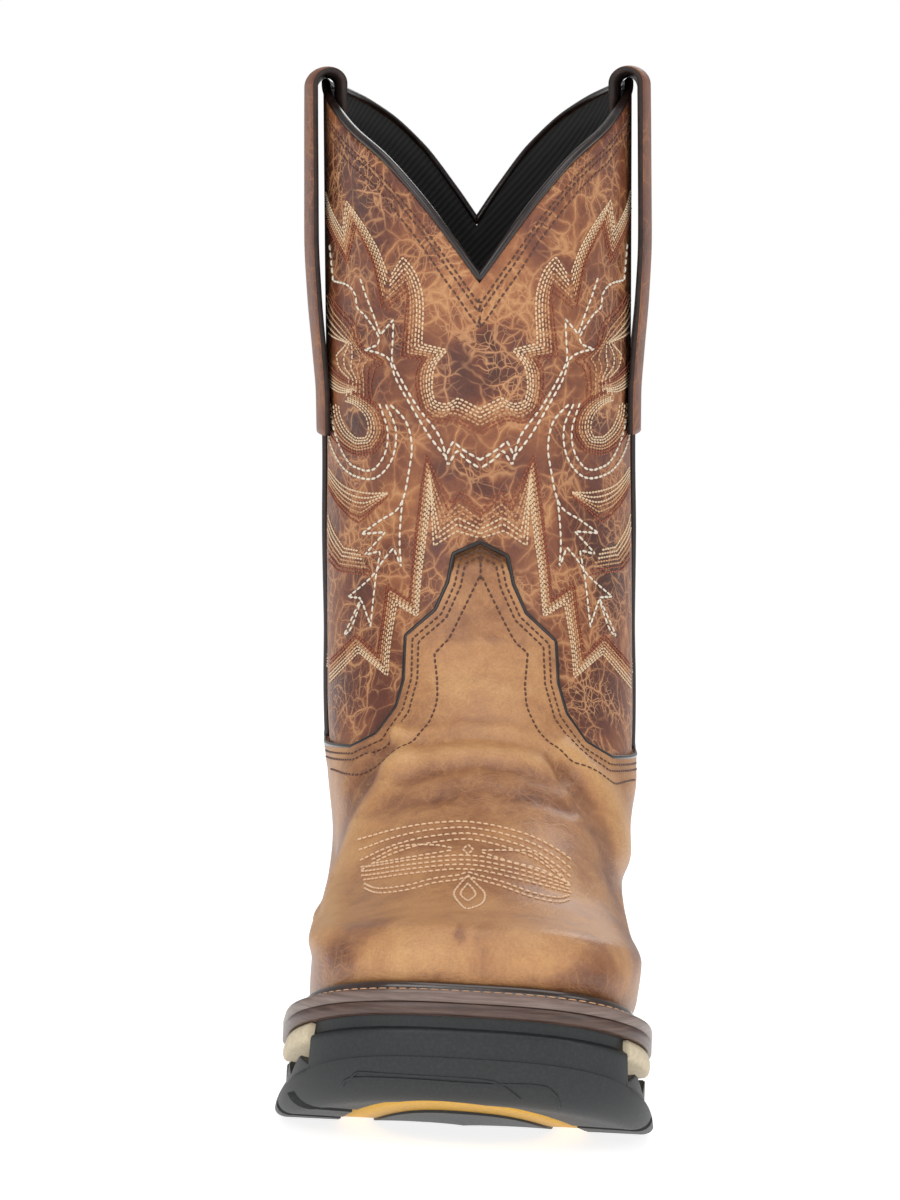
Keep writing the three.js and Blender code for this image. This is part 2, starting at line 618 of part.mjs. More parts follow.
// Insole: fills the welt's opening and spreads above it to the upper's inner wall.
function insole() {
  const edge = (turn) => [
    footLine(turn, -WELT_TUCK - GAP, -WELT),
    footLine(turn, -WELT_TUCK - GAP, GAP),
    footLine(turn, -LEATHER - 3 * GAP, GAP),
    footLine(turn, -LEATHER - 3 * GAP, INSOLE),
  ];
  const half = turns.slice(1, COLUMNS / 2);
  return loft(half.map((turn) => [...edge(turn), ...edge(-turn).reverse()]), false);
}

// Brown midsole under the welt
const MIDSOLE_ROUND = 0.8; // rounding of its lower edge
const midsole = () =>
  plate((share, at) => {
    const top = (inset) => soleTop(at(inset)) - WELT - GAP;
    return [
      [MIDSOLE_ROUND, top(MIDSOLE_ROUND) - MIDSOLE],
      [0, top(0) - MIDSOLE + MIDSOLE_ROUND],
      [0, top(0)],
    ];
  });

// The pale cushion between midsole and rubber: a rounded band above a set-back foot.
const BUMPER_START = 0.86; // share of the length at which the rubber toe bumper begins
const BUMPER_STEP = 0.002;
const WALL_INSET = 1.6; // how far the rubber's side wall stands in from the welt's edge
const WALL_BACK = WALL_INSET + RIM + GAP;
const underMidsole = (share) => soleTop(share) - WELT - MIDSOLE - 2 * GAP;
const BAND_SHARE = 0.45; // share of the cushion's height that the rounded band takes
const BAND = { inset: 0.4, round: 0.9, low: 0.75, high: 0.25 }; // low and high are where its side is upright
const TOOTH_REACH = 0.012; // a station this close to a tooth is left out
const LEAST_CLIMB = 0.05; // the side wall never sinks below this

// The rubber's side wall climbs in pointed teeth beside the cushion and covers the whole side at the toe.
// Climb is a share of the way from the rubber's top to the underside of the cushion's band.
const WALL_TEETH = [
  { share: 0.0004, climb: 0.9 },
  { share: 0.04, climb: 0.9 },
  { share: 0.065, climb: 0.1 },
  { share: 0.115, climb: 0.1 },
  { share: 0.16, climb: 0.8 },
  { share: 0.2, climb: 0.1 },
  { share: 0.245, climb: 0.05 },
  { share: 0.4, climb: 0.05 },
  { share: 0.48, climb: 0.2 },
  { share: 0.52, climb: 0.9 },
  { share: 0.55, climb: 0.1 },
  { share: 0.62, climb: 0.95 },
  { share: 0.65, climb: 0.1 },
  { share: 0.72, climb: 0.95 },
  { share: 0.75, climb: 0.1 },
  { share: 0.815, climb: 0.95 },
  { share: 0.84, climb: 0.2 },
  { share: BUMPER_START, climb: 0.3 },
];
const nearTooth = (share) => WALL_TEETH.some((tooth) => Math.abs(tooth.share - share) < TOOTH_REACH);
const RUBBER_STATIONS = [
  ...STATIONS.filter((share) => !nearTooth(share) || share < WALL_TEETH[1].share),
  ...WALL_TEETH.slice(1).map((tooth) => tooth.share),
  BUMPER_START - BUMPER_STEP,
  BUMPER_START + BUMPER_STEP,
].sort((a, b) => a - b);

const cushion = () =>
  plate((share, at) => {
    const bumper = share >= BUMPER_START;
    const band = bumper ? WALL_BACK : BAND.inset;
    const edge = bumper ? WALL_BACK : BAND.inset + BAND.round;
    const bottom = (inset) => rubberTop(settled(share, at(inset))) + GAP;
    const rise = (inset, climb) => lerp(bottom(inset), underMidsole(at(inset)), climb);
    return [
      [WALL_BACK, bottom(WALL_BACK)],
      [WALL_BACK, rise(WALL_BACK, 1 - BAND_SHARE)],
      [band, rise(band, 1 - BAND.low * BAND_SHARE)],
      [band, rise(band, 1 - BAND.high * BAND_SHARE)],
      [edge, underMidsole(at(edge))],
    ];
  }, RUBBER_STATIONS);

const FLARE = 1.5; // how far the rubber spreads near the ground beyond the welt's edge
const TREAD_EDGE = { width: 3, height: 2.5 }; // bevel under the rubber's edge
const TOE_ROLL = { width: 11, height: 11 }; // the same where the toe bumper rolls under
const BUMPER_LEDGE = { down: 4.2, inset: 1.8 }; // above its ledge the toe bumper leans in towards the midsole
const TOE_ROLL_START = 0.8; // share of the length from which the bevel grows to it
const ROLL_CORNER = { out: 0.75, up: 0.35 }; // where the bevel bends, as shares of its width and height
// Cross grooves part the tread into its main lugs. Place is a share of the sole's length, and from is how far
// from the middle line a groove starts, as a share of half the ball's width.
const GROOVES = [
  { place: 0.085, from: 0.4 },
  { place: 0.165, from: 0.4 },
  { place: 0.5, from: 0.45 },
  { place: 0.565, from: 0.58 },
  { place: 0.63, from: 0.58 },
  { place: 0.695, from: 0.58 },
  { place: 0.76, from: 0.58 },
  { place: 0.825, from: 0.58 },
  { place: 0.885, from: 0.55 },
];
const GROOVE_WIDTH = 5;
const FAR = 10; // how far a cut runs past the rubber's edge
const CHANNEL = { place: 0.715, length: 128, width: 70, power: 2.5 }; // oval recess under the forefoot
const POD = { place: 0.715, length: 104, width: 48, power: 2.6 }; // tread block inside it
const INSERT = 2; // thickness of the coloured strip that lines the recess
const OVAL_STEPS = 20;

// An oval plan outline, grown by a margin: a superellipse of the given power.
function oval(shape, margin) {
  const bend = (value) => Math.sign(value) * Math.abs(value) ** (2 / shape.power);
  return Array.from({ length: OVAL_STEPS }, (_, i) => {
    const angle = (i / OVAL_STEPS) * 2 * Math.PI;
    return [
      (shape.width / 2 + margin) * bend(Math.cos(angle)),
      shape.place * SOLE_LENGTH + (shape.length / 2 + margin) * bend(Math.sin(angle)),
    ];
  });
}
const box = (sideA, sideB, foreA, foreB) =>
  prism([
    [sideA, foreA],
    [sideB, foreA],
    [sideB, foreB],
    [sideA, foreB],
  ]);

// Rubber outsole: one plate with a raised side wall, a toe bumper and a lugged tread.
function outsole() {
  const back = WALL_BACK - GAP;
  const body = toSolid(
    plate((share, at) => {
      const toe = smooth((share - TOE_ROLL_START) / (1 - TOE_ROLL_START));
      const [width, height] = ["width", "height"].map((key) => lerp(TREAD_EDGE[key], TOE_ROLL[key], toe));
      const flare = FLARE * (1 - toe);
      const inset = lerp(WALL_INSET, BAND.inset, toe);
      const floor = (reach) => tread(settled(share, at(reach)));
      const top = (reach) => rubberTop(settled(share, at(reach)));
      const wall = (reach) => {
        const [foot, ceiling] = [top(reach), underMidsole(at(reach))];
        if (share > BUMPER_START) return ceiling - GAP;
        const climb = straight(WALL_TEETH, "share", "climb", share);
        return lerp(foot, lerp(ceiling, foot, BAND_SHARE) - 2 * GAP, Math.max(LEAST_CLIMB, climb));
      };
      const bumper = share > BUMPER_START;
      const ledge = bumper ? wall(inset) - BUMPER_LEDGE.down : Math.min(top(inset), wall(inset) - GAP);
      const rim = inset + (bumper ? BUMPER_LEDGE.inset : 0);
      return [
        [width, floor(width)],
        [lerp(width, -flare, ROLL_CORNER.out), floor(width) + height * ROLL_CORNER.up],
        [-flare, floor(-flare) + height],
        [inset, ledge],
        [rim, wall(rim)],
        [back, wall(back)],
        [back, top(back)],
      ];
    }, RUBBER_STATIONS),
  );
  const depth = toSolid(
    plate((share, at) => [
      [-FAR, tread(at(-FAR)) - FAR],
      [-FAR, tread(at(-FAR)) + LUG_DEPTH],
    ], RUBBER_STATIONS),
  );
  const far = BALL_WIDTH;
  let cuts = prism(oval(CHANNEL, 0)).subtract(prism(oval(POD, 0)));
  for (const groove of GROOVES) {
    const fore = groove.place * SOLE_LENGTH;
    const side = (groove.from * BALL_WIDTH) / 2;
    cuts = cuts.add(box(side, far, fore - GROOVE_WIDTH / 2, fore + GROOVE_WIDTH / 2));
    cuts = cuts.add(box(-far, -side, fore - GROOVE_WIDTH / 2, fore + GROOVE_WIDTH / 2));
  }
  return toGeometry(body.subtract(depth.intersect(cuts)));
}

// The coloured strip that shows round the pod.
function treadInsert() {
  const sheet = toSolid(
    plate((share, at) => {
      const top = tread(at(0)) + LUG_DEPTH - GAP;
      return [
        [0, top - INSERT],
        [0, top],
      ];
    }, RUBBER_STATIONS),
  );
  return toGeometry(sheet.intersect(prism(oval(CHANNEL, -GAP))).subtract(prism(oval(POD, GAP))));
}

// Materials
const material = (color, roughness) => new THREE.MeshStandardMaterial({ color, roughness, metalness: 0 });
const shaftLeather = material(0x7a4a30, 0.55);
const vampLeather = material(0xb08052, 0.5);
const beadLeather = material(0x3a2a26, 0.45);
const strapLeather = material(0x6b432c, 0.55);
const weltLeather = material(0x4a3832, 0.35);
const innerLeather = material(0x8c7355, 0.8);
const rubber = material(0x2b2d2e, 0.75);
const foam = material(0xcfc0a3, 0.7);
const insertRubber = material(0xd69a26, 0.6);

// Assembly
const pieces = {
  upper: [upper(), shaftLeather],
  vamp: [layer(vampCutter()), vampLeather],
  heel_counter: [layer(counterCutter()), vampLeather],
  collar_binding: [binding(), beadLeather],
  side_seam_inner: [seamBead(1), beadLeather],
  side_seam_outer: [seamBead(-1), beadLeather],
  pull_strap_inner: [strap(1), strapLeather],
  pull_strap_outer: [strap(-1), strapLeather],
  insole: [insole(), innerLeather],
  welt: [welt(), weltLeather],
  midsole: [midsole(), weltLeather],
  cushion: [cushion(), foam],
  outsole: [outsole(), rubber],
  tread_insert: [treadInsert(), insertRubber],
};

const boot = new THREE.Group();
for (const [name, [geometry, finish]] of Object.entries(pieces)) {
  const mesh = new THREE.Mesh(geometry, finish);
  mesh.name = name;
  boot.add(mesh);
}

// The pieces are worked out from the back of the sole; the boot's origin is under the middle of its outline.
const bounds = new THREE.Box3().setFromObject(boot);
const centre = bounds.getCenter(new THREE.Vector3());
boot.position.set(-centre.x, -centre.y, -bounds.min.z);

export default boot;
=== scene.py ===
"""A right-foot western work boot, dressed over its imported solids. Shapes are worked out in millimetres."""

import bmesh
import bpy
import numpy as np
from mathutils import Matrix, Vector
from mathutils.bvhtree import BVHTree


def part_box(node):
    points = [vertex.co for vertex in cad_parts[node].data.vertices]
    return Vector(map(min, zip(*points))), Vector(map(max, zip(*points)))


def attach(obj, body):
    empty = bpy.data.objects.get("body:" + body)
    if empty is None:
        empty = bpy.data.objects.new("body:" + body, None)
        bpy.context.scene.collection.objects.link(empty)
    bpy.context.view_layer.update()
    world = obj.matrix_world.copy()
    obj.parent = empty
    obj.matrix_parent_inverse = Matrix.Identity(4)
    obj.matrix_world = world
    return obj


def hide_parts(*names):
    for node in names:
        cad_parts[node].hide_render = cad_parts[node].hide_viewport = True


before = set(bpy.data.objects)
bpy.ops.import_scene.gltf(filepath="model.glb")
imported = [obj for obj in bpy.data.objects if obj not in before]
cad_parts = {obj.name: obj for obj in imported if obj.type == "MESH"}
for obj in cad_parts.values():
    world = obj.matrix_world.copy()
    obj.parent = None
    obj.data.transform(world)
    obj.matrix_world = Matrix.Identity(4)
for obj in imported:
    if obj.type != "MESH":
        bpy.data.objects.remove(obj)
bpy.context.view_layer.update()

MM = 0.001


# Camera: stands low in front of the toe, a little to the outer side, and leans so that the floor tips to the
# right. Focal length and distance are the ones that lay the boot's outline over the photograph.
FRAME_WIDTH = 900
FRAME_HEIGHT = 1200
FOCAL = 6210.0  # in pixels of that frame
CAMERA_TURN = np.radians(0.44)
CAMERA_ROLL = np.radians(2.38)
CAMERA_DISTANCE = 2.0
CAMERA_HEIGHT = 0.2375
AIM_SIDE = -0.0069
AIM_HEIGHT = 0.160
SENSOR_WIDTH = 36.0
FAR_END = 20.0

CAMERA_AT = np.array([
    -np.sin(CAMERA_TURN) * CAMERA_DISTANCE,
    -np.cos(CAMERA_TURN) * CAMERA_DISTANCE,
    CAMERA_HEIGHT,
])
VIEW = np.array([AIM_SIDE, 0, AIM_HEIGHT]) - CAMERA_AT
VIEW /= np.linalg.norm(VIEW)
LEVEL_RIGHT = np.cross(VIEW, [0, 0, 1])
LEVEL_RIGHT /= np.linalg.norm(LEVEL_RIGHT)
LEVEL_UP = np.cross(LEVEL_RIGHT, VIEW)
RIGHT = np.cos(CAMERA_ROLL) * LEVEL_RIGHT + np.sin(CAMERA_ROLL) * LEVEL_UP
UP = np.cos(CAMERA_ROLL) * LEVEL_UP - np.sin(CAMERA_ROLL) * LEVEL_RIGHT


def aimed(name, data, right, up, forward, place):
    """An object at a place whose own x, y and minus z run along right, up and forward."""
    pose = np.eye(4)
    pose[:3] = np.column_stack([right, up, -forward, place])
    thing = bpy.data.objects.new(name, data)
    thing.matrix_world = Matrix(pose.tolist())
    bpy.context.scene.collection.objects.link(thing)
    return thing


camera_data = bpy.data.cameras.new("camera")
camera_data.sensor_width = SENSOR_WIDTH
camera_data.sensor_fit = "HORIZONTAL"
camera_data.lens = FOCAL / FRAME_WIDTH * SENSOR_WIDTH
camera_data.clip_end = FAR_END
bpy.context.scene.camera = aimed("camera", camera_data, RIGHT, UP, VIEW, CAMERA_AT)


# Floor and light: a plain pale studio floor that runs out of view, and large soft lamps in front at both
# sides, above and behind. The paper glows, so that it meets the white backdrop without a horizon.
def linear(hex_colour):
    """An sRGB hex colour as linear red, green, blue and alpha."""
    values = np.array([int(hex_colour[i:i + 2], 16) / 255 for i in (1, 3, 5)])
    values = np.where(values <= 0.04045, values / 12.92, ((values + 0.055) / 1.055) ** 2.4)
    return (*values.tolist(), 1.0)


def feed(material, node, **links):
    """Gives a node its inputs: each is a socket of another node or a value, and is named after the input, or
    in0, in1 and so on after its number."""
    for name, value in links.items():
        key = name.replace("_", " ")
        socket = node.inputs[int(key[2:])] if key.startswith("in") else node.inputs[key]
        if isinstance(value, bpy.types.NodeSocket):
            material.node_tree.links.new(value, socket)
        else:
            socket.default_value = value


def add_node(material, kind, settings=None, stops=(), **links):
    """Adds a node with its settings and inputs. Stops are the places and colours of a ramp."""
    node = material.node_tree.nodes.new(kind)
    for name, value in (settings or {}).items():
        setattr(node, name, value)
    if stops:
        node.color_ramp.elements.remove(node.color_ramp.elements[1])
    for i, (place, colour) in enumerate(stops):
        element = node.color_ramp.elements[0] if i == 0 else node.color_ramp.elements.new(place)
        element.position = place
        element.color = linear(colour)
    feed(material, node, **links)
    return node


def new_material(name):
    """A material with its default nodes, as the material and its main shader."""
    material = bpy.data.materials.new(name)
    material.use_nodes = True
    return material, material.node_tree.nodes["Principled BSDF"]


WHITE = (1.0, 1.0, 1.0, 1.0)
FLOOR_SIZE = 60.0
paper, paper_shader = new_material("studio_paper")
feed(
    paper, paper_shader,
    Base_Color=linear("#b4b4b3"), Roughness=0.9, Emission_Color=WHITE, Emission_Strength=0.84,
)
bpy.ops.mesh.primitive_plane_add(size=FLOOR_SIZE)
floor = bpy.context.object
floor.name = "floor"
floor.data.materials.append(paper)

WALL_LIGHT = 0.4  # how bright the walls light the boot; the camera sees them white
world = bpy.data.worlds.new("studio")
world.use_nodes = True
seen = add_node(world, "ShaderNodeLightPath").outputs["Is Camera Ray"]
strength = add_node(world, "ShaderNodeMapRange", in0=seen, in3=WALL_LIGHT, in4=1.0).outputs[0]
feed(world, world.node_tree.nodes["Background"], Color=WHITE, Strength=strength)
bpy.context.scene.world = world
bpy.context.scene.view_settings.view_transform = "Standard"

LAMPS = {  # name: place in metres, size in metres, watts
    "lamp_left": ((-1.1, -1.7, 1.1), 1.1, 12),
    "lamp_right": ((1.3, -1.4, 1.0), 1.1, 8),
    "lamp_above": ((0.0, -0.5, 2.0), 1.4, 11),
    "lamp_back": ((0.4, 1.8, 1.5), 1.2, 13),
}
LAMP_AIM = np.array([0, 0, 0.15])
NEARLY_UP = np.array([0.0, 0.01, 1.0])
for name, (place, size, power) in LAMPS.items():
    lamp = bpy.data.lights.new(name, "AREA")
    lamp.size = size
    lamp.energy = power
    forward = LAMP_AIM - np.array(place)
    forward /= np.linalg.norm(forward)
    side = np.cross(forward, NEARLY_UP)
    side /= np.linalg.norm(side)
    aimed(name, lamp, side, np.cross(side, forward), forward, place)


# Upper: one hollow boot of oiled brown leather, its front and back panels sewn up the sides and lined with
# black twill. It is shaped over a last, so its surface is a stack of rings from the welt up to the collar.
SOLE_LENGTH = 304.0
SEAT_HEIGHT = 42.0
BALL_HEIGHT = 26.0
TOE_HEIGHT = 49.4
TOE_SLANT = 0.15
UPPER_HEIGHT = 286.5
FOOT_WIDTH = 102.0
SHAFT_WIDTH = 103.0
SHAFT_LEAN = 0.045
ANKLE_SHIFT = 2.2
ANKLE_HEIGHT = 0.2
FRONT_DIP = 61.5
BACK_DIP = 45.0
LEATHER = 1.8
OVERLAY = 1.4
GAP = 0.3
SEAM_FORE = 0.235 * SOLE_LENGTH

# Each row is a ring: level and rises are shares of the upper's height, front and back shares of the sole's
# length, and widths shares of the upper's width.
RING_COLUMNS = (
    "level front front_rise back back_rise settle heel inner outer inner_waist outer_waist taper "
    "back_reach back_power front_reach front_power"
).split()
RING_ROWS = np.array([
    [0, 0.974, 0, 0.024, 0, 1, 0.332, 0.459, 0.455, 0.055, 0.024, 0.1, 0.14, 2.2, 0.15, 3.2],
    [0.033, 0.987, 0.0324, 0.012, 0.033, 0.95, 0.365, 0.496, 0.47, 0.042, 0.015, 0.09, 0.14, 2.2, 0.155, 3.1],
    [0.081, 0.974, 0.068, 0.006, 0.077, 0.85, 0.41, 0.504, 0.47, 0.025, 0.008, 0.09, 0.15, 2.2, 0.19, 2.8],
    [0.121, 0.908, 0.0945, 0.007, 0.118, 0.7, 0.435, 0.475, 0.455, 0.01, 0, 0.08, 0.17, 2.2, 0.3, 2.4],
    [0.158, 0.822, 0.1155, 0.013, 0.158, 0.5, 0.458, 0.455, 0.44, 0, 0, 0.04, 0.2, 2.2, 0.44, 2.2],
    [0.2, 0.73, 0.1534, 0.026, 0.2, 0.3, 0.484, 0.465, 0.455, 0, 0, 0, 0.25, 2.2, 0.5, 2.1],
    [0.257, 0.632, 0.195, 0.043, 0.262, 0.12, 0.497, 0.485, 0.485, 0, 0, 0, 0.33, 2.1, 0.52, 2.05],
    [0.331, 0.533, 0.261, 0.054, 0.338, 0, 0.5, 0.495, 0.495, 0, 0, 0, 0.42, 2, 0.52, 2],
    [0.412, 0.474, 0.34, 0.056, 0.422, 0, 0.495, 0.495, 0.495, 0, 0, 0, 0.48, 2, 0.5, 2],
    [0.494, 0.441, 0.4335, 0.051, 0.5, 0, 0.495, 0.495, 0.495, 0, 0, 0, 0.5, 2, 0.5, 2],
    [0.592, 0.428, 0.544, 0.041, 0.592, 0, 0.492, 0.492, 0.492, 0, 0, 0, 0.5, 2, 0.5, 2],
    [0.776, 0.431, 0.758, 0.024, 0.776, 0, 0.497, 0.497, 0.497, 0, 0, 0, 0.5, 2, 0.5, 2],
    [1.04, 0.444, 1.044, 0.012, 1.04, 0, 0.501, 0.501, 0.501, 0, 0, 0, 0.5, 2, 0.5, 2],
])
RINGS = dict(zip(RING_COLUMNS, RING_ROWS.T))
SOLE_FORM = {
    "heel": 42.5, "inner": 57.5, "outer": 57.5, "inner_waist": 9.0, "outer_waist": 4.0, "taper": 0.1,
    "back_reach": 0.15, "back_power": 2.3, "front_reach": 0.16, "front_power": 2.9,
}


def mix(a, b, t):
    """From a at 0 to b at 1."""
    return a + (b - a) * t


def smooth(t):
    """0 before 0, 1 after 1, and an S-shaped rise between."""
    t = np.clip(t, 0, 1)
    return t * t * (3 - 2 * t)


def trace(knots, values, at):
    """A curve through the knots that never overshoots: cubic pieces whose slopes are harmonic means."""
    knots, values, at = np.asarray(knots, float), np.asarray(values, float), np.asarray(at, float)
    step = np.diff(knots)
    rise = np.diff(values) / step
    slope = np.concatenate([rise[:1], np.zeros(len(rise) - 1), rise[-1:]])
    same_way = rise[:-1] * rise[1:] > 0
    total = np.where(same_way, rise[:-1] + rise[1:], 1)
    slope[1:-1] = np.where(same_way, 2 * rise[:-1] * rise[1:] / total, 0)
    i = np.clip(np.searchsorted(knots, at, side="right") - 1, 0, len(step) - 1)
    t = (at - knots[i]) / step[i]
    u = np.minimum(t, 1)
    start, end = slope[i] * step[i], slope[i + 1] * step[i]
    curve = values[i] * (1 + 2 * u) * (1 - u) ** 2 + start * u * (1 - u) ** 2
    curve += values[i + 1] * u * u * (3 - 2 * u) - end * u * u * (1 - u)
    return curve + end * (t - u)


def cap(left, reach, power):
    """The rounded closing of an outline: a quarter of a superellipse over a reach, then 1."""
    return (1 - (1 - np.clip(left / reach, 0, 1)) ** power) ** (1 / power)


def rounding(form, share):
    """Both closings of an outline together."""
    back = cap(share, form["back_reach"], form["back_power"])
    return back * cap(1 - share, form["front_reach"], form["front_power"])


def half_width(form, share, inner):
    """Half of an outline's width: heel width blends to ball width, less a bell at the waist, and both ends are
    closed."""
    ball = np.where(inner, 0.72, 0.62)
    widest = np.where(inner, form["inner"], form["outer"])
    bell = np.exp(-(((share - 0.42) / 0.17) ** 2))
    waist = np.where(inner, form["inner_waist"], form["outer_waist"]) * bell
    full = mix(form["heel"], widest, smooth((share - 0.18) / (ball - 0.18)))
    taper = 1 - form["taper"] * np.clip((share - 0.7) / 0.3, 0, 1) ** 2
    return (full - waist) * taper * rounding(form, share)


def slant(fore):
    """How far a point shifts forwards per unit of its side distance, from nothing at the waist to the toe."""
    return TOE_SLANT * smooth((fore / SOLE_LENGTH - 0.6) / 0.4)


def at_place(fore, side, up):
    """A point from its distance to the back of the sole, its distance towards the big toe, and its height."""
    return np.stack(np.broadcast_arrays(side, -(fore + slant(fore) * side), up), -1).astype(float)


def sole_top(share):
    """Height of the welt: level at the seat, falling over the arch to the ball, rising by a power at the
    toe."""
    heel = (SEAT_HEIGHT - BALL_HEIGHT) * (1 - smooth((share - 0.16) / 0.48))
    return BALL_HEIGHT + heel + (TOE_HEIGHT - BALL_HEIGHT) * np.clip((share - 0.58) / 0.42, 0, 1) ** 1.9


def shaft_shift(up):
    """How far to the inner side the middle of the shaft stands at a height."""
    return ANKLE_SHIFT - SHAFT_LEAN * np.maximum(0, up - SEAT_HEIGHT - ANKLE_HEIGHT * UPPER_HEIGHT)


def skin(level, turn):
    """The upper's outer surface: at each level a ring, and turn runs round it from the middle of the front."""
    level, turn = np.broadcast_arrays(np.asarray(level, float), np.asarray(turn, float))
    inner = np.sin(turn) >= 0
    share = (1 + np.cos(turn)) / 2
    form = {key: trace(RINGS["level"], RINGS[key], level) for key in RING_COLUMNS}
    width = mix(FOOT_WIDTH, SHAFT_WIDTH, smooth((level - ANKLE_HEIGHT) / 0.4))
    fore = mix(form["back"], form["front"], share) * SOLE_LENGTH
    drop = (sole_top(fore / SOLE_LENGTH) - SEAT_HEIGHT) * form["settle"]
    up = SEAT_HEIGHT + GAP + drop + mix(form["back_rise"], form["front_rise"], share) * UPPER_HEIGHT
    shift = shaft_shift(up) * smooth((level - 0.03) / 0.2)
    point = at_place(fore, np.where(inner, 1, -1) * half_width(form, share, inner) * width, up)
    point[..., 2] += SHAFT_LEAN * point[..., 0] * smooth((level - ANKLE_HEIGHT) / 0.3)
    point[..., 0] += shift
    return point


def skin_normal(level, turn):
    """The outward unit normal of that surface, from its slopes along and across."""
    step = 0.004
    along = skin(level + step, turn) - skin(np.maximum(0, level - step), turn)
    around = skin(level, turn + step) - skin(level, turn - step)
    normal = np.cross(around, along)
    return normal / np.linalg.norm(normal, axis=-1, keepdims=True)


def off_skin(level, turn, distance):
    """The surface moved out along its own normal by a distance in millimetres."""
    level, turn = np.broadcast_arrays(np.asarray(level, float), np.asarray(turn, float))
    return skin(level, turn) + skin_normal(level, turn) * np.asarray(distance, float)[..., None]


def turn_at(level, fore):
    """The turn at which a ring passes a given distance from the back of the sole."""
    back = trace(RINGS["level"], RINGS["back"], level) * SOLE_LENGTH
    front = trace(RINGS["level"], RINGS["front"], level) * SOLE_LENGTH
    return np.arccos(2 * np.clip((fore - back) / (front - back), 0, 1) - 1)


# Share of the quarter turn from a side seam to the middle, and the shares of the front and back dips there.
COLLAR_LINE = np.array([
    [0, 0, 0], [0.25, 0.155, 0.02], [0.4, 0.27, 0.065], [0.575, 0.405, 0.185], [0.75, 0.61, 0.42],
    [0.9, 0.838, 0.745], [1, 1, 1],
])


def collar(turn):
    """Level of the collar: a peak at each side seam and a deep scallop at front and back."""
    away = 1 - np.arcsin(np.minimum(1, np.abs(np.sin(turn)))) / (np.pi / 2)
    front = FRONT_DIP * trace(COLLAR_LINE[:, 0], COLLAR_LINE[:, 1], away)
    back = BACK_DIP * trace(COLLAR_LINE[:, 0], COLLAR_LINE[:, 2], away)
    return 1 - np.where(np.cos(turn) > 0, front, back) / UPPER_HEIGHT


def level_of(row, turn):
    """Rows run level round the foot, and from half way up they bend to follow the collar."""
    return np.where(row <= 0.5, row, mix(0.5, collar(turn), (row - 0.5) / 0.5))


# The solid upper's rings tell where the last stands in the frame.
CAD_ROWS = np.array([
    0, 0.022, 0.044, 0.066, 0.09, 0.12, 0.155, 0.19, 0.23, 0.29, 0.36, 0.43, 0.5, 0.57, 0.7, 0.85, 1,
])
CAD_TURNS = np.arange(48) / 48 * 2 * np.pi
cad_grid = skin(level_of(CAD_ROWS[:, None], CAD_TURNS), CAD_TURNS)
cad_middle = (cad_grid.min((0, 1)) + cad_grid.max((0, 1))) / 2
SHIFT = (np.array(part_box("upper")[0]) + np.array(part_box("upper")[1])) / 2 / MM - cad_middle
SHIFT[2] = 0


def placed(points):
    """Points of the last, in millimetres, as points of the frame in metres."""
    return (np.asarray(points) + SHIFT) * MM


def body(name, grid, materials, closed, uv=None, marks=None, paint=None):
    """A closed body from sections: each row of the grid is a loop, the loops are joined in order, and an open
    row of loops is closed by a strip across its first and last loop. uv holds two numbers for each point,
    marks named numbers for each point, and paint a material number for each face of the grid."""
    count, ring = grid.shape[:2]
    index = np.arange(count * ring).reshape(count, ring)
    steps = index if closed else index[:-1]
    after = np.roll(index, -1, 0) if closed else index[1:]
    quads = np.stack([steps, np.roll(steps, -1, 1), np.roll(after, -1, 1), after], -1).reshape(-1, 4)
    slots = np.zeros(len(quads), int) if paint is None else np.broadcast_to(paint, steps.shape).reshape(-1)
    if not closed:
        k = np.arange(ring // 2 - 1)
        first = np.stack([k, ring - 1 - k, ring - 2 - k, k + 1], -1)
        last = (count - 1) * ring + first[:, ::-1]
        quads = np.concatenate([quads, first, last])
        slots = np.concatenate([slots, np.zeros(2 * len(k), int)])
    points = placed(grid.reshape(-1, 3))
    a, b, c, d = (points[quads[:, i]] for i in range(4))
    centre = points.mean(0)
    volume = np.einsum("ij,ij->", a + c - 2 * centre, np.cross(b - a, d - a) + np.cross(d - c, b - c))
    if volume < 0:
        quads = quads[:, ::-1]
    return mesh_object(name, points, quads, materials, slots, uv, marks)


def mesh_object(name, points, faces, materials, slots=None, uv=None, marks=None):
    """An object at the origin from arrays of points and of faces with equally many corners."""
    mesh = bpy.data.meshes.new(name)
    corners = faces.shape[1]
    mesh.vertices.add(len(points))
    mesh.vertices.foreach_set("co", points.astype(np.float32).ravel())
    mesh.loops.add(faces.size)
    mesh.loops.foreach_set("vertex_index", faces.astype(np.int32).ravel())
    mesh.polygons.add(len(faces))
    mesh.polygons.foreach_set("loop_start", np.arange(len(faces), dtype=np.int32) * corners)
    mesh.polygons.foreach_set("loop_total", np.full(len(faces), corners, np.int32))
    mesh.update(calc_edges=True)
    mesh.polygons.foreach_set("use_smooth", np.ones(len(faces), bool))
    for material in materials:
        mesh.materials.append(material)
    if slots is not None:
        mesh.polygons.foreach_set("material_index", slots.astype(np.int32))
    if uv is not None:
        layer = mesh.uv_layers.new(name="leather")
        layer.data.foreach_set("uv", uv.reshape(-1, 2)[faces.ravel()].astype(np.float32).ravel())
    for mark, values in (marks or {}).items():
        attribute = mesh.attributes.new(mark, "FLOAT", "POINT")
        attribute.data.foreach_set("value", np.asarray(values, np.float32).ravel())
    mesh.validate()
    piece = bpy.data.objects.new(name, mesh)
    bpy.context.scene.collection.objects.link(piece)
    return piece


def fixed(piece, slot, *nodes):
    """A piece that stands still with the boot and stands for CAD nodes, which it hides. The slot is not used.
    """
    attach(piece, "root")
    if nodes:
        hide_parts(*nodes)


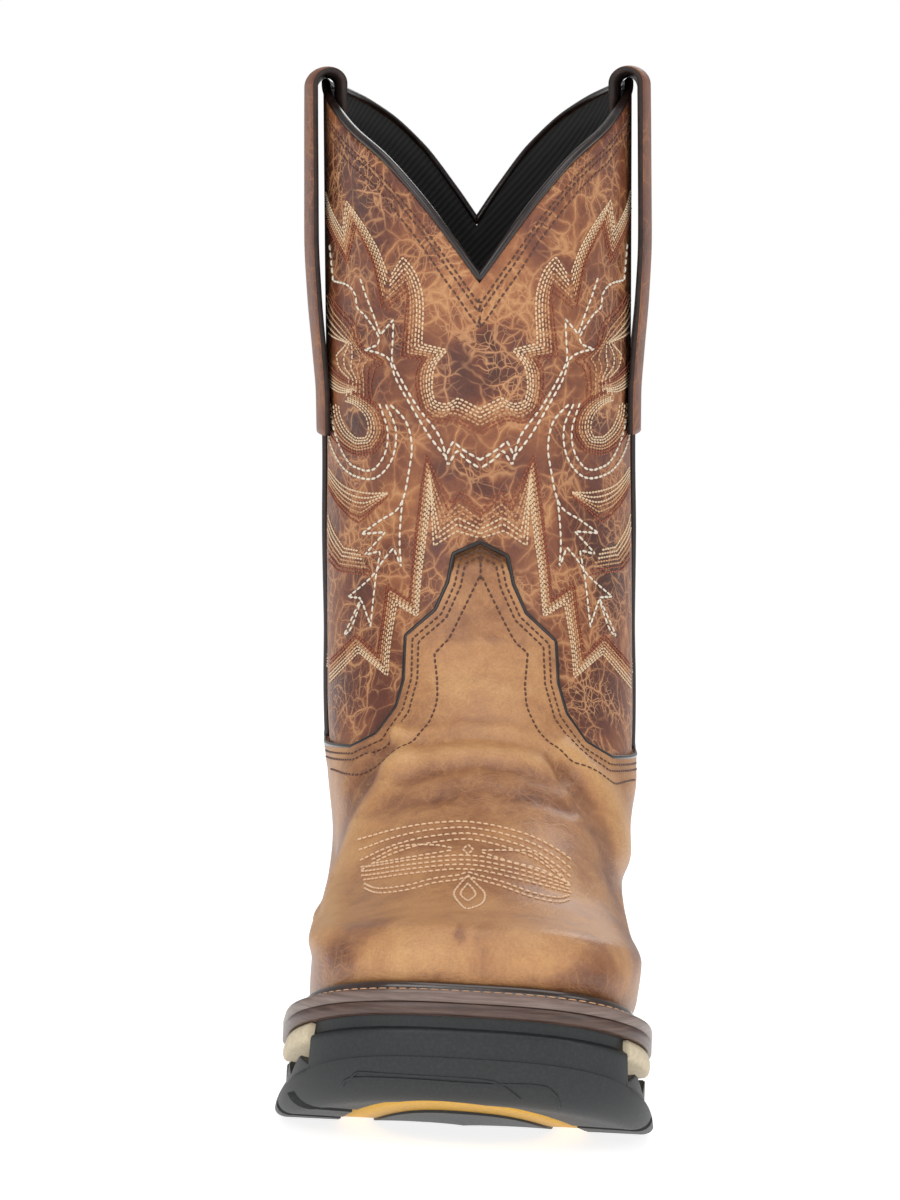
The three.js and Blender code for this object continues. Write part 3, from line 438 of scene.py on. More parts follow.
def millimetres(material):
    """Places on the boot in millimetres, for patterns whose scale is the inverse of a real size."""
    place = add_node(material, "ShaderNodeTexCoord").outputs["Object"]
    return add_node(
        material, "ShaderNodeVectorMath", {"operation": "MULTIPLY"}, in0=place, in1=(1000, 1000, 1000)
    ).outputs[0]


# Sizes of the leather's patterns in millimetres. A net of cracks has the size of its cells, the half width of
# a crack as a share of that, and the two levels of rubbing between which it comes to show.
WANDER = 22.0
CLOUD = 26.0
RUBBED = 16.0
CRACK_NETS = ((12.0, 0.045, 0.3, 0.5), (5.5, 0.055, 0.38, 0.55), (2.6, 0.07, 0.44, 0.6))
HALO = 3.2  # width of the pale rim round a crack, in half widths of the crack
GRAIN = 0.8
PEBBLE = 1.3
LEATHER_BUMP = 0.22


def oiled_leather(name, tones, vein, veins, warp, dark_reach, rough):
    """Oiled leather that was waxed, crumpled and rubbed: tones from light to dark in soft clouds, and a net of
    paler veins where the wax has cracked. Veins are their amount, warp is how far they wander in millimetres,
    and dark_reach is how far the piece's dark mark shifts the tones: darker blotches of the leather, and on
    shaft and vamp also painted light and shade."""
    material, shader = new_material(name)
    at = millimetres(material)
    wander = add_node(material, "ShaderNodeTexNoise", Vector=at, Scale=1 / WANDER, Detail=3.0).outputs["Color"]
    centred = add_node(
        material, "ShaderNodeVectorMath", {"operation": "SUBTRACT"}, in0=wander, in1=(0.5, 0.5, 0.5)
    ).outputs[0]
    bent = add_node(
        material, "ShaderNodeVectorMath", {"operation": "MULTIPLY_ADD"},
        in0=centred, in1=(warp, warp, warp), in2=at,
    ).outputs[0]
    cloud = add_node(
        material, "ShaderNodeTexNoise", Vector=bent, Scale=1 / CLOUD, Detail=9.0, Roughness=0.66
    ).outputs["Fac"]
    rubbed = add_node(material, "ShaderNodeTexNoise", Vector=bent, Scale=1 / RUBBED, Detail=4.0).outputs["Fac"]
    shown, halos = [], []
    for cell, thin, low, high in CRACK_NETS:
        edge = add_node(
            material, "ShaderNodeTexVoronoi", {"feature": "DISTANCE_TO_EDGE"}, Vector=bent, Scale=1 / cell
        ).outputs["Distance"]
        mask = add_node(material, "ShaderNodeMapRange", in0=rubbed, in1=low, in2=high).outputs[0]
        for reach, made in ((thin, shown), (HALO * thin, halos)):
            net = add_node(
                material, "ShaderNodeMapRange", {"interpolation_type": "SMOOTHSTEP"},
                in0=edge, in1=0.0, in2=reach, in3=1.0, in4=0.0,
            ).outputs[0]
            part = add_node(material, "ShaderNodeMath", {"operation": "MULTIPLY"}, in0=net, in1=mask)
            made.append(part.outputs[0])
    most = {"operation": "MAXIMUM"}
    crack = add_node(material, "ShaderNodeMath", most, in0=shown[0], in1=shown[1]).outputs[0]
    crack = add_node(material, "ShaderNodeMath", most, in0=crack, in1=shown[2]).outputs[0]
    halo = add_node(material, "ShaderNodeMath", most, in0=halos[0], in1=halos[1]).outputs[0]
    # The dark mark: the leather's darker blotches, and painted light and shade where the piece carries them.
    dark = add_node(material, "ShaderNodeAttribute", {"attribute_name": "dark"}).outputs["Fac"]
    tone = add_node(
        material, "ShaderNodeMath", {"operation": "MULTIPLY_ADD"}, in0=dark, in1=dark_reach, in2=cloud
    ).outputs[0]
    tone = add_node(
        material, "ShaderNodeMath", {"operation": "MULTIPLY_ADD"}, in0=halo, in1=-0.3 * veins, in2=tone
    ).outputs[0]
    colour = add_node(material, "ShaderNodeValToRGB", stops=tones, Fac=tone).outputs["Color"]
    strength = add_node(
        material, "ShaderNodeMapRange", in0=dark, in1=0.0, in2=1.0, in3=veins, in4=veins + 0.3
    ).outputs[0]
    amount = add_node(
        material, "ShaderNodeMath", {"operation": "MULTIPLY"}, in0=crack, in1=strength
    ).outputs[0]
    veined = add_node(
        material, "ShaderNodeMix", {"data_type": "RGBA"}, in0=amount, in6=colour, in7=linear(vein)
    ).outputs[2]
    grain = add_node(material, "ShaderNodeTexNoise", Vector=at, Scale=1 / GRAIN, Detail=3.0).outputs["Fac"]
    speck = add_node(material, "ShaderNodeMapRange", in0=grain, in3=0.76, in4=1.24).outputs[0]
    final = add_node(
        material, "ShaderNodeVectorMath", {"operation": "SCALE"}, in0=veined, Scale=speck
    ).outputs[0]
    gloss = add_node(
        material, "ShaderNodeMapRange", in0=tone, in1=0.3, in2=0.8, in3=rough + 0.08, in4=rough - 0.08
    ).outputs[0]
    pebble = add_node(material, "ShaderNodeTexVoronoi", Vector=bent, Scale=1 / PEBBLE).outputs["Distance"]
    rise = add_node(
        material, "ShaderNodeMath", {"operation": "MULTIPLY_ADD"}, in0=crack, in1=-0.8, in2=pebble
    ).outputs[0]
    height = add_node(material, "ShaderNodeMath", {"operation": "ADD"}, in0=rise, in1=grain).outputs[0]
    bump = add_node(
        material, "ShaderNodeBump", Height=height, Strength=0.5, Distance=LEATHER_BUMP * MM
    ).outputs["Normal"]
    feed(
        material, shader,
        Base_Color=final, Roughness=gloss, Normal=bump, Coat_Weight=0.12, Coat_Roughness=0.35,
    )
    return material


# Oiled brown leather, waxed and rubbed: the eye sees dark clouds with a crackled net of tan veins.
shaft_leather = oiled_leather(
    "distressed_oiled_leather",
    [(0.18, "#b57d4f"), (0.33, "#9a5f3a"), (0.46, "#7f482c"), (0.58, "#673524"), (0.75, "#4c261a")],
    "#cc9768", 0.6, 16.0, 0.2, 0.48,
)

# Black cotton twill: a dull black ground under fine diagonal ribs, drawn coarser than real so that they show.
TWILL_RIB = 1.4  # half the spacing of the ribs, measured along a row
HALF_WAVE = 0.314  # half a wave of the pattern at scale 1
TWILL_BUMP = 0.3
twill, twill_shader = new_material("black_cotton_twill")
weave = add_node(twill, "ShaderNodeUVMap", {"uv_map": "leather"}).outputs["UV"]
rib = add_node(
    twill, "ShaderNodeTexWave", {"bands_direction": "DIAGONAL"},
    Vector=weave, Scale=HALF_WAVE / TWILL_RIB, Distortion=0.6, Detail=1.0,
).outputs["Fac"]
twill_colour = add_node(
    twill, "ShaderNodeMix", {"data_type": "RGBA"}, in0=rib, in6=linear("#101010"), in7=linear("#262625")
).outputs[2]
twill_bump = add_node(
    twill, "ShaderNodeBump", Height=rib, Strength=0.5, Distance=TWILL_BUMP * MM
).outputs["Normal"]
feed(twill, twill_shader, Base_Color=twill_colour, Normal=twill_bump, Roughness=0.9)


def picture_place(points):
    """Where points of the last fall in the photograph, in pixels of its frame from the top left."""
    away = placed(points) - CAMERA_AT
    depth = away @ VIEW
    across = FRAME_WIDTH / 2 + FOCAL * (away @ RIGHT) / depth
    return np.stack([across, FRAME_HEIGHT / 2 - FOCAL * (away @ UP) / depth], -1)


def clouded(level, turn, patches):
    """The sum of soft oval patches, each drawn in the photograph's pixels. The back takes its front twin's."""
    twin = np.where(np.cos(turn) < 0, np.pi - turn, turn)
    spot = picture_place(skin(level, twin))
    total = np.zeros(np.broadcast_shapes(np.shape(level), np.shape(turn)))
    for across, down, wide, high, amount in patches:
        reach = ((spot[..., 0] - across) / wide) ** 2 + ((spot[..., 1] - down) / high) ** 2
        total += amount * np.exp(-(reach ** 1.5))
    return np.clip(total, -1, 1)


# Dark and rubbed places of the shaft: across, down, half width and half height in pixels, and amount. Besides
# the leather's own darker blotches and rubbed places, they paint light and shade: the front is painted lighter
# down its middle and darker towards its sides.
SHAFT_PATCHES = [
    (348, 165, 30, 40, 0.9), (372, 215, 26, 30, 0.8), (345, 250, 20, 30, 0.5), (355, 330, 26, 30, 0.6),
    (452, 378, 20, 22, 1.0), (505, 378, 20, 22, 1.0), (480, 345, 16, 26, 0.7), (477, 392, 30, 12, 0.8),
    (355, 421, 14, 17, 1.0), (600, 421, 14, 17, 1.0), (362, 690, 36, 42, 1.0), (600, 700, 34, 46, 1.0),
    (545, 235, 22, 22, 0.6), (620, 150, 16, 30, 0.4), (610, 330, 22, 40, 0.6), (445, 472, 22, 10, 0.8),
    (480, 490, 24, 10, 0.7), (350, 560, 28, 60, 0.6), (606, 560, 26, 60, 0.6), (432, 590, 14, 40, 0.7),
    (520, 580, 12, 40, 0.7), (440, 230, 24, 30, 0.4), (478, 290, 60, 34, -0.5), (430, 300, 20, 40, -0.33),
    (540, 300, 26, 44, -0.33), (570, 190, 40, 26, -0.39), (470, 440, 60, 18, -0.22),
    (330, 120, 10, 30, -0.28), (478, 330, 8, 50, -0.44), (415, 470, 14, 60, -0.28), (545, 470, 14, 60, -0.28),
]

UPPER_COLUMNS = 420
UPPER_OUTER = np.concatenate([np.linspace(0, 0.2, 14), np.linspace(0.22, 1, 110)])
UPPER_INNER = np.linspace(0, 1, 34)
turns = np.arange(UPPER_COLUMNS) / UPPER_COLUMNS * 2 * np.pi


def upper_grid():
    """For each turn a loop up the outer face of the wall and down its inner face."""
    turn = turns[:, None]
    outer = off_skin(level_of(UPPER_OUTER[None], turn), turn, 0.0)
    inner = off_skin(level_of(UPPER_INNER[None, ::-1], turn), turn, -LEATHER)
    return np.concatenate([outer, inner], 1)


grid = upper_grid()
face_slots = (np.arange(grid.shape[1]) >= len(UPPER_OUTER)).astype(int)
rows = np.concatenate([UPPER_OUTER, UPPER_INNER[::-1]])
row_levels = level_of(rows[None], turns[:, None])
row_turns = np.broadcast_to(turns[:, None], row_levels.shape)
cloth = np.stack([row_turns * SHAFT_WIDTH / 2, row_levels * UPPER_HEIGHT], -1)
# The shaft's dark mark: its darker blotches, with painted light and shade across the front.
upper = body(
    "upper_shell", grid, [shaft_leather, twill], True, uv=cloth, paint=face_slots,
    marks={"dark": clouded(row_levels, row_turns, SHAFT_PATCHES)},
)
fixed(upper, "shaft_leather", "upper")


# Vamp: a second layer of tan pull-up leather over the front of the foot, cut to a pointed tongue and sewn
# down, with dark piping along its edge. The counter is its twin round the back of the foot.
VAMP_EDGE = np.array([
    [0, 0.476], [0.083, 0.461], [0.1, 0.429], [0.139, 0.3965], [0.231, 0.3655], [0.235, 0.319],
    [0.26, 0.286], [0.32, 0.255], [0.4, 0.238], [0.48, 0.236], [0.65, 0.236],
])  # across as a share of the shaft's width, height as a share of the upper's

# Tan pull-up leather, waxed: an even tan that darkens to brown where it is rubbed, with fine grain and a faint
# net of paler cracks. On the vamp its dark mark also paints shade into the creases and light onto their ridges.
VAMP_TONES = [(0.2, "#cb9a66"), (0.42, "#b88456"), (0.58, "#9c6a46"), (0.74, "#7d4f35"), (0.95, "#623c29")]
vamp_leather = oiled_leather("tan_pull_up_leather", VAMP_TONES, "#c4925f", 0.1, 22.0, 0.3, 0.42)

# Waxed edge dye: the cut edge of the leather and the folded binding are stained nearly black and polished.
PIPING_CLOUD = 4.0
DYE_BUMP = 0.3
piping, piping_shader = new_material("waxed_edge_binding")
piping_cloud = add_node(
    piping, "ShaderNodeTexNoise", Vector=millimetres(piping), Scale=1 / PIPING_CLOUD, Detail=4.0
).outputs["Fac"]
piping_colour = add_node(
    piping, "ShaderNodeValToRGB", stops=[(0.35, "#150d0b"), (0.7, "#2a1b17")], Fac=piping_cloud
).outputs["Color"]
piping_bump = add_node(
    piping, "ShaderNodeBump", Height=piping_cloud, Strength=0.3, Distance=DYE_BUMP * MM
).outputs["Normal"]
feed(
    piping, piping_shader,
    Base_Color=piping_colour, Normal=piping_bump, Roughness=0.3, Coat_Weight=0.25, Coat_Roughness=0.2,
)

# Dark and pale places of the vamp, drawn as the shaft's are. Besides the leather's own darker blotches and the
# darker band over the instep, they paint light and shade: paler lines along the ridges of the creases, and a
# toe painted lighter in its middle and darker at its sides.
VAMP_PATCHES = [
    (465, 795, 92, 34, 0.5), (385, 812, 36, 34, 0.3), (548, 812, 34, 38, 0.4), (440, 852, 90, 14, 0.2),
    (345, 962, 13, 18, 0.7), (434, 976, 22, 9, 0.7), (587, 981, 24, 15, 0.55), (460, 938, 5, 9, 0.7),
    (317, 965, 12, 60, 0.5), (640, 965, 12, 60, 0.4), (482, 562, 24, 32, 0.4), (480, 742, 90, 12, -0.3),
    (470, 690, 70, 46, -0.4), (470, 900, 100, 22, -0.1), (420, 950, 40, 22, -0.35), (520, 950, 50, 24, -0.45),
    (345, 800, 16, 34, -0.3), (610, 800, 12, 34, -0.2),
]

# Folds of the vamp as seen from the front, in millimetres across and up: depth, half width and line. The first
# two run down beside the flat top of the foot, and the rest are flex lines over the instep and its sides.
CREASES = [
    (2.4, 3.4, [(-29, 110), (-36, 98), (-40, 90), (-43.5, 79), (-47, 70), (-48.5, 63)]),
    (2.2, 3.4, [(28, 105), (33.5, 99), (40, 89), (42, 80), (46.5, 71), (51, 60)]),
    (1.5, 2.6, [(28, 106), (21, 113), (12, 115), (2, 116), (-10, 115), (-19, 113), (-29, 110)]),
    (0.6, 2.0, [(24, 117), (10, 121), (-6, 121.5), (-22, 118)]),
    (0.6, 2.0, [(26, 101), (14, 106), (0, 107.5), (-12, 105), (-24, 101)]),
    (0.45, 1.6, [(30, 94), (18, 98), (6, 99)]),
    (0.45, 1.6, [(-8, 97), (-20, 95), (-32, 90)]),
    (0.4, 1.4, [(15, 132), (2, 135), (-12, 133)]),
    (0.35, 1.3, [(16, 145), (4, 147), (-10, 146)]),
    (0.8, 3.0, [(-42, 118), (-44, 100), (-48, 84)]),
    (0.8, 3.0, [(44, 112), (47, 96), (51, 80)]),
]


def run_of(points):
    """How far along a path each of its points lies."""
    return np.concatenate([[0], np.cumsum(np.linalg.norm(np.diff(points, axis=0), axis=1))])


def spaced(points, spacing):
    """A path's points moved along it until they stand evenly, about a spacing apart."""
    run = run_of(points)
    stops = np.linspace(0, run[-1], max(3, int(run[-1] / spacing) + 1))
    return np.stack([np.interp(stops, run, points[:, i]) for i in range(points.shape[1])], -1)


def beside(points, line):
    """Signed distance of flat points to a line of straight pieces: positive to the left of its direction."""
    best = np.full(points.shape[:-1], np.inf)
    signed = np.zeros(points.shape[:-1])
    line = np.asarray(line, float)
    for a, b in zip(line[:-1], line[1:]):
        along = b - a
        t = np.clip(((points - a) @ along) / (along @ along), 0, 1)
        off = points - a - t[..., None] * along
        far = np.linalg.norm(off, axis=-1)
        closer = far < best
        best = np.where(closer, far, best)
        signed = np.where(closer, np.sign(along[0] * off[..., 1] - along[1] * off[..., 0]) * far, signed)
    return signed


def vamp_height(point):
    """How far a point of the upper lies above the vamp's edge, which is drawn as seen from the front."""
    across = np.abs(point[..., 0] - shaft_shift(point[..., 2])) / SHAFT_WIDTH
    edge = SEAT_HEIGHT + np.interp(across, VAMP_EDGE[:, 0], VAMP_EDGE[:, 1]) * UPPER_HEIGHT
    return point[..., 2] - edge


FOLD_FADE = 9.0
FOLD_SPACING = 3.0
DEEPEST = 1.3  # a trough stays above the leather that the vamp lies on


def folds(level, turn):
    """Height of the creases: a soft bell-shaped trough along each line and a ridge nearly as high beside it,
    fading towards the vamp's edge. A hyperbolic tangent holds the troughs above their deepest."""
    point = skin(level, turn)
    front = smooth((np.cos(turn) + 0.1) / 0.3)
    flat = point[..., [0, 2]]
    height = np.zeros(flat.shape[:-1])
    for depth, width, line in CREASES:
        off = beside(flat, spaced(np.array(line, float), FOLD_SPACING))
        trough = -np.exp(-((off / width) ** 2))
        ridge = 0.95 * np.exp(-(((off - 1.7 * width) / (1.2 * width)) ** 2))
        height += depth * (trough + ridge)
    height *= front * smooth(-vamp_height(point) / FOLD_FADE)
    return np.where(height < 0, -DEEPEST * np.tanh(-height / DEEPEST), height)


COUNTER_EDGE = np.array([[-0.4, 0.31], [0.1, 0.31], [0.5, 0.28], [1, 0.236]])


def counter_height(point):
    """How far a point of the upper lies above the counter's edge, which is drawn as seen from the side."""
    fore = -point[..., 1] / SEAM_FORE
    edge = SEAT_HEIGHT + np.interp(fore, COUNTER_EDGE[:, 0], COUNTER_EDGE[:, 1]) * UPPER_HEIGHT
    return point[..., 2] - edge


def vamp_turn(column, level):
    """Columns of the vamp run from -1 at the outer side seam to 1 at the inner one."""
    return column * turn_at(level, SEAM_FORE + GAP / 2)


def counter_turn(column, level):
    """Columns of the counter run from -1 at the inner side seam, round the back, to 1 at the outer one."""
    return np.pi + column * (np.pi - turn_at(level, SEAM_FORE - GAP / 2))


def edge_level(column, turn_of, height_of):
    """The level at which each column meets the layer's upper edge, by halving."""
    low, high = np.full(column.shape, 0.12), np.full(column.shape, 0.62)
    for _ in range(22):
        middle = (low + high) / 2
        below = height_of(skin(middle, turn_of(column, middle))) < 0
        low, high = np.where(below, middle, low), np.where(below, high, middle)
    return high


# Painted shade and light along the vamp's creases: troughs are drawn darker and ridges paler.
CREASE_SHADE = 0.45  # how much a millimetre of trough darkens the leather
LAYER_LEVELS = np.concatenate([np.linspace(0, 0.3, 100, endpoint=False), np.linspace(0.3, 0.5, 46)])


def layer_grid(columns, turn_of, height_of):
    """For each column a loop up the outer face of the layer to its edge and down its inner face. Outer rows
    run level, and the rows above the edge are gathered onto it, to be merged there."""
    top = edge_level(columns, turn_of, height_of)[:, None]
    outer, inner = np.minimum(LAYER_LEVELS[None], top), top * np.linspace(1, 0, 20)[None]
    level = np.concatenate([outer, inner], 1)
    out = np.concatenate([np.full(outer.shape, GAP + OVERLAY), np.full(inner.shape, GAP * 0.5)], 1)
    return level, turn_of(columns[:, None], level), out


SAME_PLACE = 0.002


def merged(piece):
    """The piece with the points that stand in one place made one, and without the empty faces there."""
    mesh = bmesh.new()
    mesh.from_mesh(piece.data)
    bmesh.ops.remove_doubles(mesh, verts=mesh.verts, dist=SAME_PLACE * MM)
    bmesh.ops.dissolve_degenerate(mesh, edges=mesh.edges, dist=SAME_PLACE * MM)
    mesh.to_mesh(piece.data)
    mesh.free()
    return piece


VAMP_COLUMNS = np.linspace(-1, 1, 480)
level, turn, out = layer_grid(VAMP_COLUMNS, vamp_turn, vamp_height)
fold = folds(level, turn)
rise = np.where(out > GAP, fold, np.minimum(0, fold))
# The vamp's dark mark: its patches, with painted shade in the folds' troughs and painted highlight on their
# ridges.
vamp = body(
    "vamp_layer", off_skin(level, turn, out + rise), [vamp_leather], False,
    marks={"dark": clouded(level, turn, VAMP_PATCHES) - CREASE_SHADE * fold},
)
fixed(merged(vamp), "vamp_leather", "vamp")

COUNTER_COLUMNS = np.linspace(-1, 1, 220)
level, turn, out = layer_grid(COUNTER_COLUMNS, counter_turn, counter_height)
counter = body("heel_counter_layer", off_skin(level, turn, out), [vamp_leather], False)
fixed(merged(counter), "vamp_leather", "heel_counter")


def tube(path, normals, wide, high, sides=10, closed=False):
    """An oval section carried along a path: wide across it and high along the given normals."""
    if closed:
        along = np.roll(path, -1, 0) - np.roll(path, 1, 0)
    else:
        along = np.gradient(path, axis=0)
    along /= np.linalg.norm(along, axis=1, keepdims=True)
    across = np.cross(along, normals)
    across /= np.linalg.norm(across, axis=1, keepdims=True)
    out = np.cross(across, along)
    angle = (np.arange(sides) / sides * 2 * np.pi)[None, :, None]
    return path[:, None] + (np.cos(angle) * across[:, None] * wide + np.sin(angle) * out[:, None] * high)


PIPING_RADIUS = 0.75
PIPING_FLAT = 0.8
PIPING_SPACING = 0.8


def edge_piping(name, turn_of, height_of):
    """Piping along a layer's upper edge."""
    columns = np.linspace(-1, 1, 1400)
    top = edge_level(columns, turn_of, height_of)
    line = off_skin(top, turn_of(columns, top), 1.0)
    track = spaced(np.column_stack([line, top, columns]), PIPING_SPACING)
    level, turn = track[:, 3], turn_of(track[:, 4], track[:, 3])
    path, normals = off_skin(level, turn, OVERLAY), skin_normal(level, turn)
    piece = body(name, tube(path, normals, PIPING_RADIUS, PIPING_FLAT * PIPING_RADIUS), [piping], False)
    fixed(piece, "piping")


edge_piping("vamp_piping", vamp_turn, vamp_height)
edge_piping("counter_piping", counter_turn, counter_height)


# Collar binding: a strip of dark waxed leather, folded over the raw edges of shaft and lining and sewn
# through. It follows the scallops of the collar all round.
BINDING = 2.6
BINDING_WIDTH = 3.0
binding_turns = np.arange(900) / 900 * 2 * np.pi
binding_level = collar(binding_turns) + (GAP + BINDING / 2) / UPPER_HEIGHT
path = off_skin(binding_level, binding_turns, -LEATHER / 2)
binding = body(
    "collar_binding_strip",
    tube(path, skin_normal(binding_level, binding_turns), BINDING / 2, BINDING_WIDTH / 2, 14, True),
    [piping], True,
)
fixed(binding, "piping", "collar_binding")


# Side seams: the front and back panels of the shaft meet under a cord covered in dark leather, which is caught
# in the seam and runs up to where the pull strap is sewn on.
STRAP_DROP = 108.0
SEAM_RADIUS = 1.2
SEAM_FOOT = 0.25  # level at which the seam comes out from under the vamp
SEAM_LAP = 4.0
for name, sign in (("inner", 1), ("outer", -1)):
    levels = np.linspace(SEAM_FOOT, 1 - (STRAP_DROP - SEAM_LAP) / UPPER_HEIGHT, 160)
    seam_turn = sign * turn_at(levels, SEAM_FORE)
    seam = body(
        f"side_seam_{name}_cord",
        tube(
            off_skin(levels, seam_turn, SEAM_RADIUS / 2), skin_normal(levels, seam_turn),
            SEAM_RADIUS, SEAM_RADIUS,
        ),
        [piping], False,
    )
    fixed(seam, "piping", f"side_seam_{name}")


# Pull straps: a doubled strip of oiled leather with a dark stained back. It is sewn inside the collar, loops
# over it and stands clear down the outside to where it is sewn on.
STRAP_WIDTH = 36.0
STRAP = 3.0
STRAP_LOOP = 3.7
STRAP_SPREAD = 10.5
STRAP_STAND = 1.0
STRAP_TUCK = 46.0
OUTER_LEG = np.array([
    [0, 0.85], [0.12, 0.9], [0.28, 0.95], [0.45, 1], [0.62, 0.75], [0.78, 0.3], [0.9, 0.02], [1, 0],
])  # share of the way down, share of the way out from the shaft
INNER_LEG = np.array([[0, 1], [0.35, 0.7], [0.7, 0.25], [1, 0]])

# Oiled leather, pulled and handled: browner and more even than the shaft's, with fewer pale cracks.
STRAP_TONES = [(0.25, "#8a5434"), (0.45, "#714330"), (0.65, "#5a3324"), (0.85, "#45261b")]
strap_leather = oiled_leather("oiled_strap_leather", STRAP_TONES, "#a06c45", 0.5, 10.0, 0.3, 0.48)

# The strap's back and edges: dark stained leather, dull, with a faint brown cloud.
STAIN_CLOUD = 3.0
strap_back, strap_back_shader = new_material("stained_strap_back")
back_cloud = add_node(
    strap_back, "ShaderNodeTexNoise", Vector=millimetres(strap_back), Scale=1 / STAIN_CLOUD, Detail=5.0
).outputs["Fac"]
back_colour = add_node(
    strap_back, "ShaderNodeValToRGB", stops=[(0.35, "#1a100d"), (0.7, "#33211a")], Fac=back_cloud
).outputs["Color"]
back_bump = add_node(
    strap_back, "ShaderNodeBump", Height=back_cloud, Strength=0.4, Distance=DYE_BUMP * MM
).outputs["Normal"]
feed(strap_back, strap_back_shader, Base_Color=back_colour, Normal=back_bump, Roughness=0.62)


def strap_grid(sign):
    """The strap's middle line runs up the outer leg, over the loop and down the inner leg, and each section
    across it is flat and thins towards its edges by a sixth power."""
    half = STRAP / 2
    seat_out, seat_in = half + 2 * GAP, -LEATHER - half - 2 * GAP
    loop_out, loop_in = (share * STRAP_SPREAD + STRAP_STAND - LEATHER / 2 for share in (0.5, -0.5))
    down = np.linspace(1, 0, 70)
    outer_out = mix(seat_out, loop_out, trace(OUTER_LEG[:, 0], OUTER_LEG[:, 1], down))
    angle = np.linspace(0, np.pi, 26)[1:-1]
    loop_line = mix(outer_out[-1], loop_in, (1 - np.cos(angle)) / 2)
    rise = (BINDING + STRAP_LOOP - half) * np.sin(angle)
    back_down = np.linspace(0, 1, 30)
    inner_out = mix(seat_in, loop_in, trace(INNER_LEG[:, 0], INNER_LEG[:, 1], back_down))
    out = np.concatenate([outer_out, loop_line, inner_out])
    fall = np.concatenate([down * STRAP_DROP, np.zeros(len(angle)), back_down * STRAP_TUCK])
    level = 1 - fall / UPPER_HEIGHT
    lift = np.concatenate([np.zeros(len(down)), rise, np.zeros(len(back_down))])
    across = np.linspace(-1, 1, 17)
    turn = sign * turn_at(level[:, None], SEAM_FORE + across[None] * STRAP_WIDTH / 2)
    grid = off_skin(level[:, None], turn, np.broadcast_to(out[:, None], turn.shape))
    grid[..., 2] += lift[:, None]
    normal = np.cross(np.gradient(grid, axis=0), (grid[:, -1] - grid[:, 0])[:, None])
    normal /= np.linalg.norm(normal, axis=-1, keepdims=True)
    thick = half * (1 - 0.45 * np.abs(across) ** 6)[None, :, None]
    return np.concatenate([grid + normal * thick, (grid - normal * thick)[:, ::-1]], 1)


for name, sign in (("inner", 1), ("outer", -1)):
    grid = strap_grid(sign)
    half = grid.shape[1] // 2
    outside = 0 if sign > 0 else half
    face = np.ones(2 * half, int)
    face[outside:outside + half - 1] = 0
    strap = body(f"pull_strap_{name}_loop", grid, [strap_leather, strap_back], False, paint=face)
    fixed(strap, "strap_leather", f"pull_strap_{name}")


# Stitching: waxed thread sewn in single rows that follow the collar and the edges of vamp and counter, and in
# rows side by side that draw the flames and vines of a western shaft and the fan on the toe.
THREADS = {  # name: colour and roughness
    "thread_white": ("#efe6d3", 0.6),
    "thread_cream": ("#ecd0ab", 0.6),
    "thread_tan": ("#d3a277", 0.6),
    "thread_rust": ("#9a4d2d", 0.55),
    "thread_peach": ("#f4cda6", 0.6),
    "thread_brown": ("#5e3521", 0.6),
}
PLY = 0.45

# Twisted polyester thread: a soft sheen, and a fine ply that is drawn as a light and dark ripple.
thread_materials = {}
for name, (colour, rough) in THREADS.items():
    thread, thread_shader = new_material(f"polyester_{name}")
    ripple = add_node(thread, "ShaderNodeTexNoise", Vector=millimetres(thread), Scale=1 / PLY, Detail=1.0)
    tint = add_node(thread, "ShaderNodeMapRange", in0=ripple.outputs["Fac"], in3=0.72, in4=1.18).outputs[0]
    shaded = add_node(
        thread, "ShaderNodeVectorMath", {"operation": "SCALE"}, in0=linear(colour)[:3], Scale=tint
    ).outputs[0]
    feed(thread, thread_shader, Base_Color=shaded, Roughness=rough, Sheen_Weight=0.2)
    thread_materials[name] = thread

STITCH_RINGS = np.array([-1, -0.55, 0.55, 1])  # places of the rings, in half lengths from a stitch's middle
STITCH_GIRTH = np.array([0.4, 1, 1, 0.4])
STITCH_SIDES = 4
STITCH_STAND = 0.55  # height of a stitch's middle over the surface, in half heights of the stitch
STAGGER = 0.25  # in pitches: rows shift this far forth and back in turn, so neighbours sit half a pitch apart
MIRRORS = 4  # a row and its mirror images follow each other and shift alike


def stitch_mesh(name, paths, normals, wide, high, thread, slot):
    """Stitches as closed four-sided beads, shaded round: paths hold four points along each, and a ring of an
    oval section stands on every point, thinner at both ends."""
    along = np.gradient(paths, axis=1)
    along /= np.linalg.norm(along, axis=-1, keepdims=True)
    across = np.cross(along, normals)
    across /= np.linalg.norm(across, axis=-1, keepdims=True)
    up = np.cross(across, along)
    angle = np.arange(STITCH_SIDES) / STITCH_SIDES * 2 * np.pi
    girth = STITCH_GIRTH[None, :, None, None]
    sine, cosine = np.sin(angle)[:, None], np.cos(angle)[:, None]
    ring = cosine * across[:, :, None] * wide + sine * up[:, :, None] * high
    points = (paths[:, :, None] + ring * girth).reshape(-1, 3)
    one = np.arange(len(STITCH_RINGS) * STITCH_SIDES).reshape(-1, STITCH_SIDES)
    walls = np.stack([one[:-1], one[1:], np.roll(one[1:], -1, 1), np.roll(one[:-1], -1, 1)], -1)
    faces = np.concatenate([walls.reshape(-1, 4), one[:1], one[-1:, ::-1]])
    faces = (faces[None] + np.arange(len(paths))[:, None, None] * one.size).reshape(-1, 4)
    piece = mesh_object(name, placed(points), faces, [thread_materials[thread]])
    fixed(piece, slot)


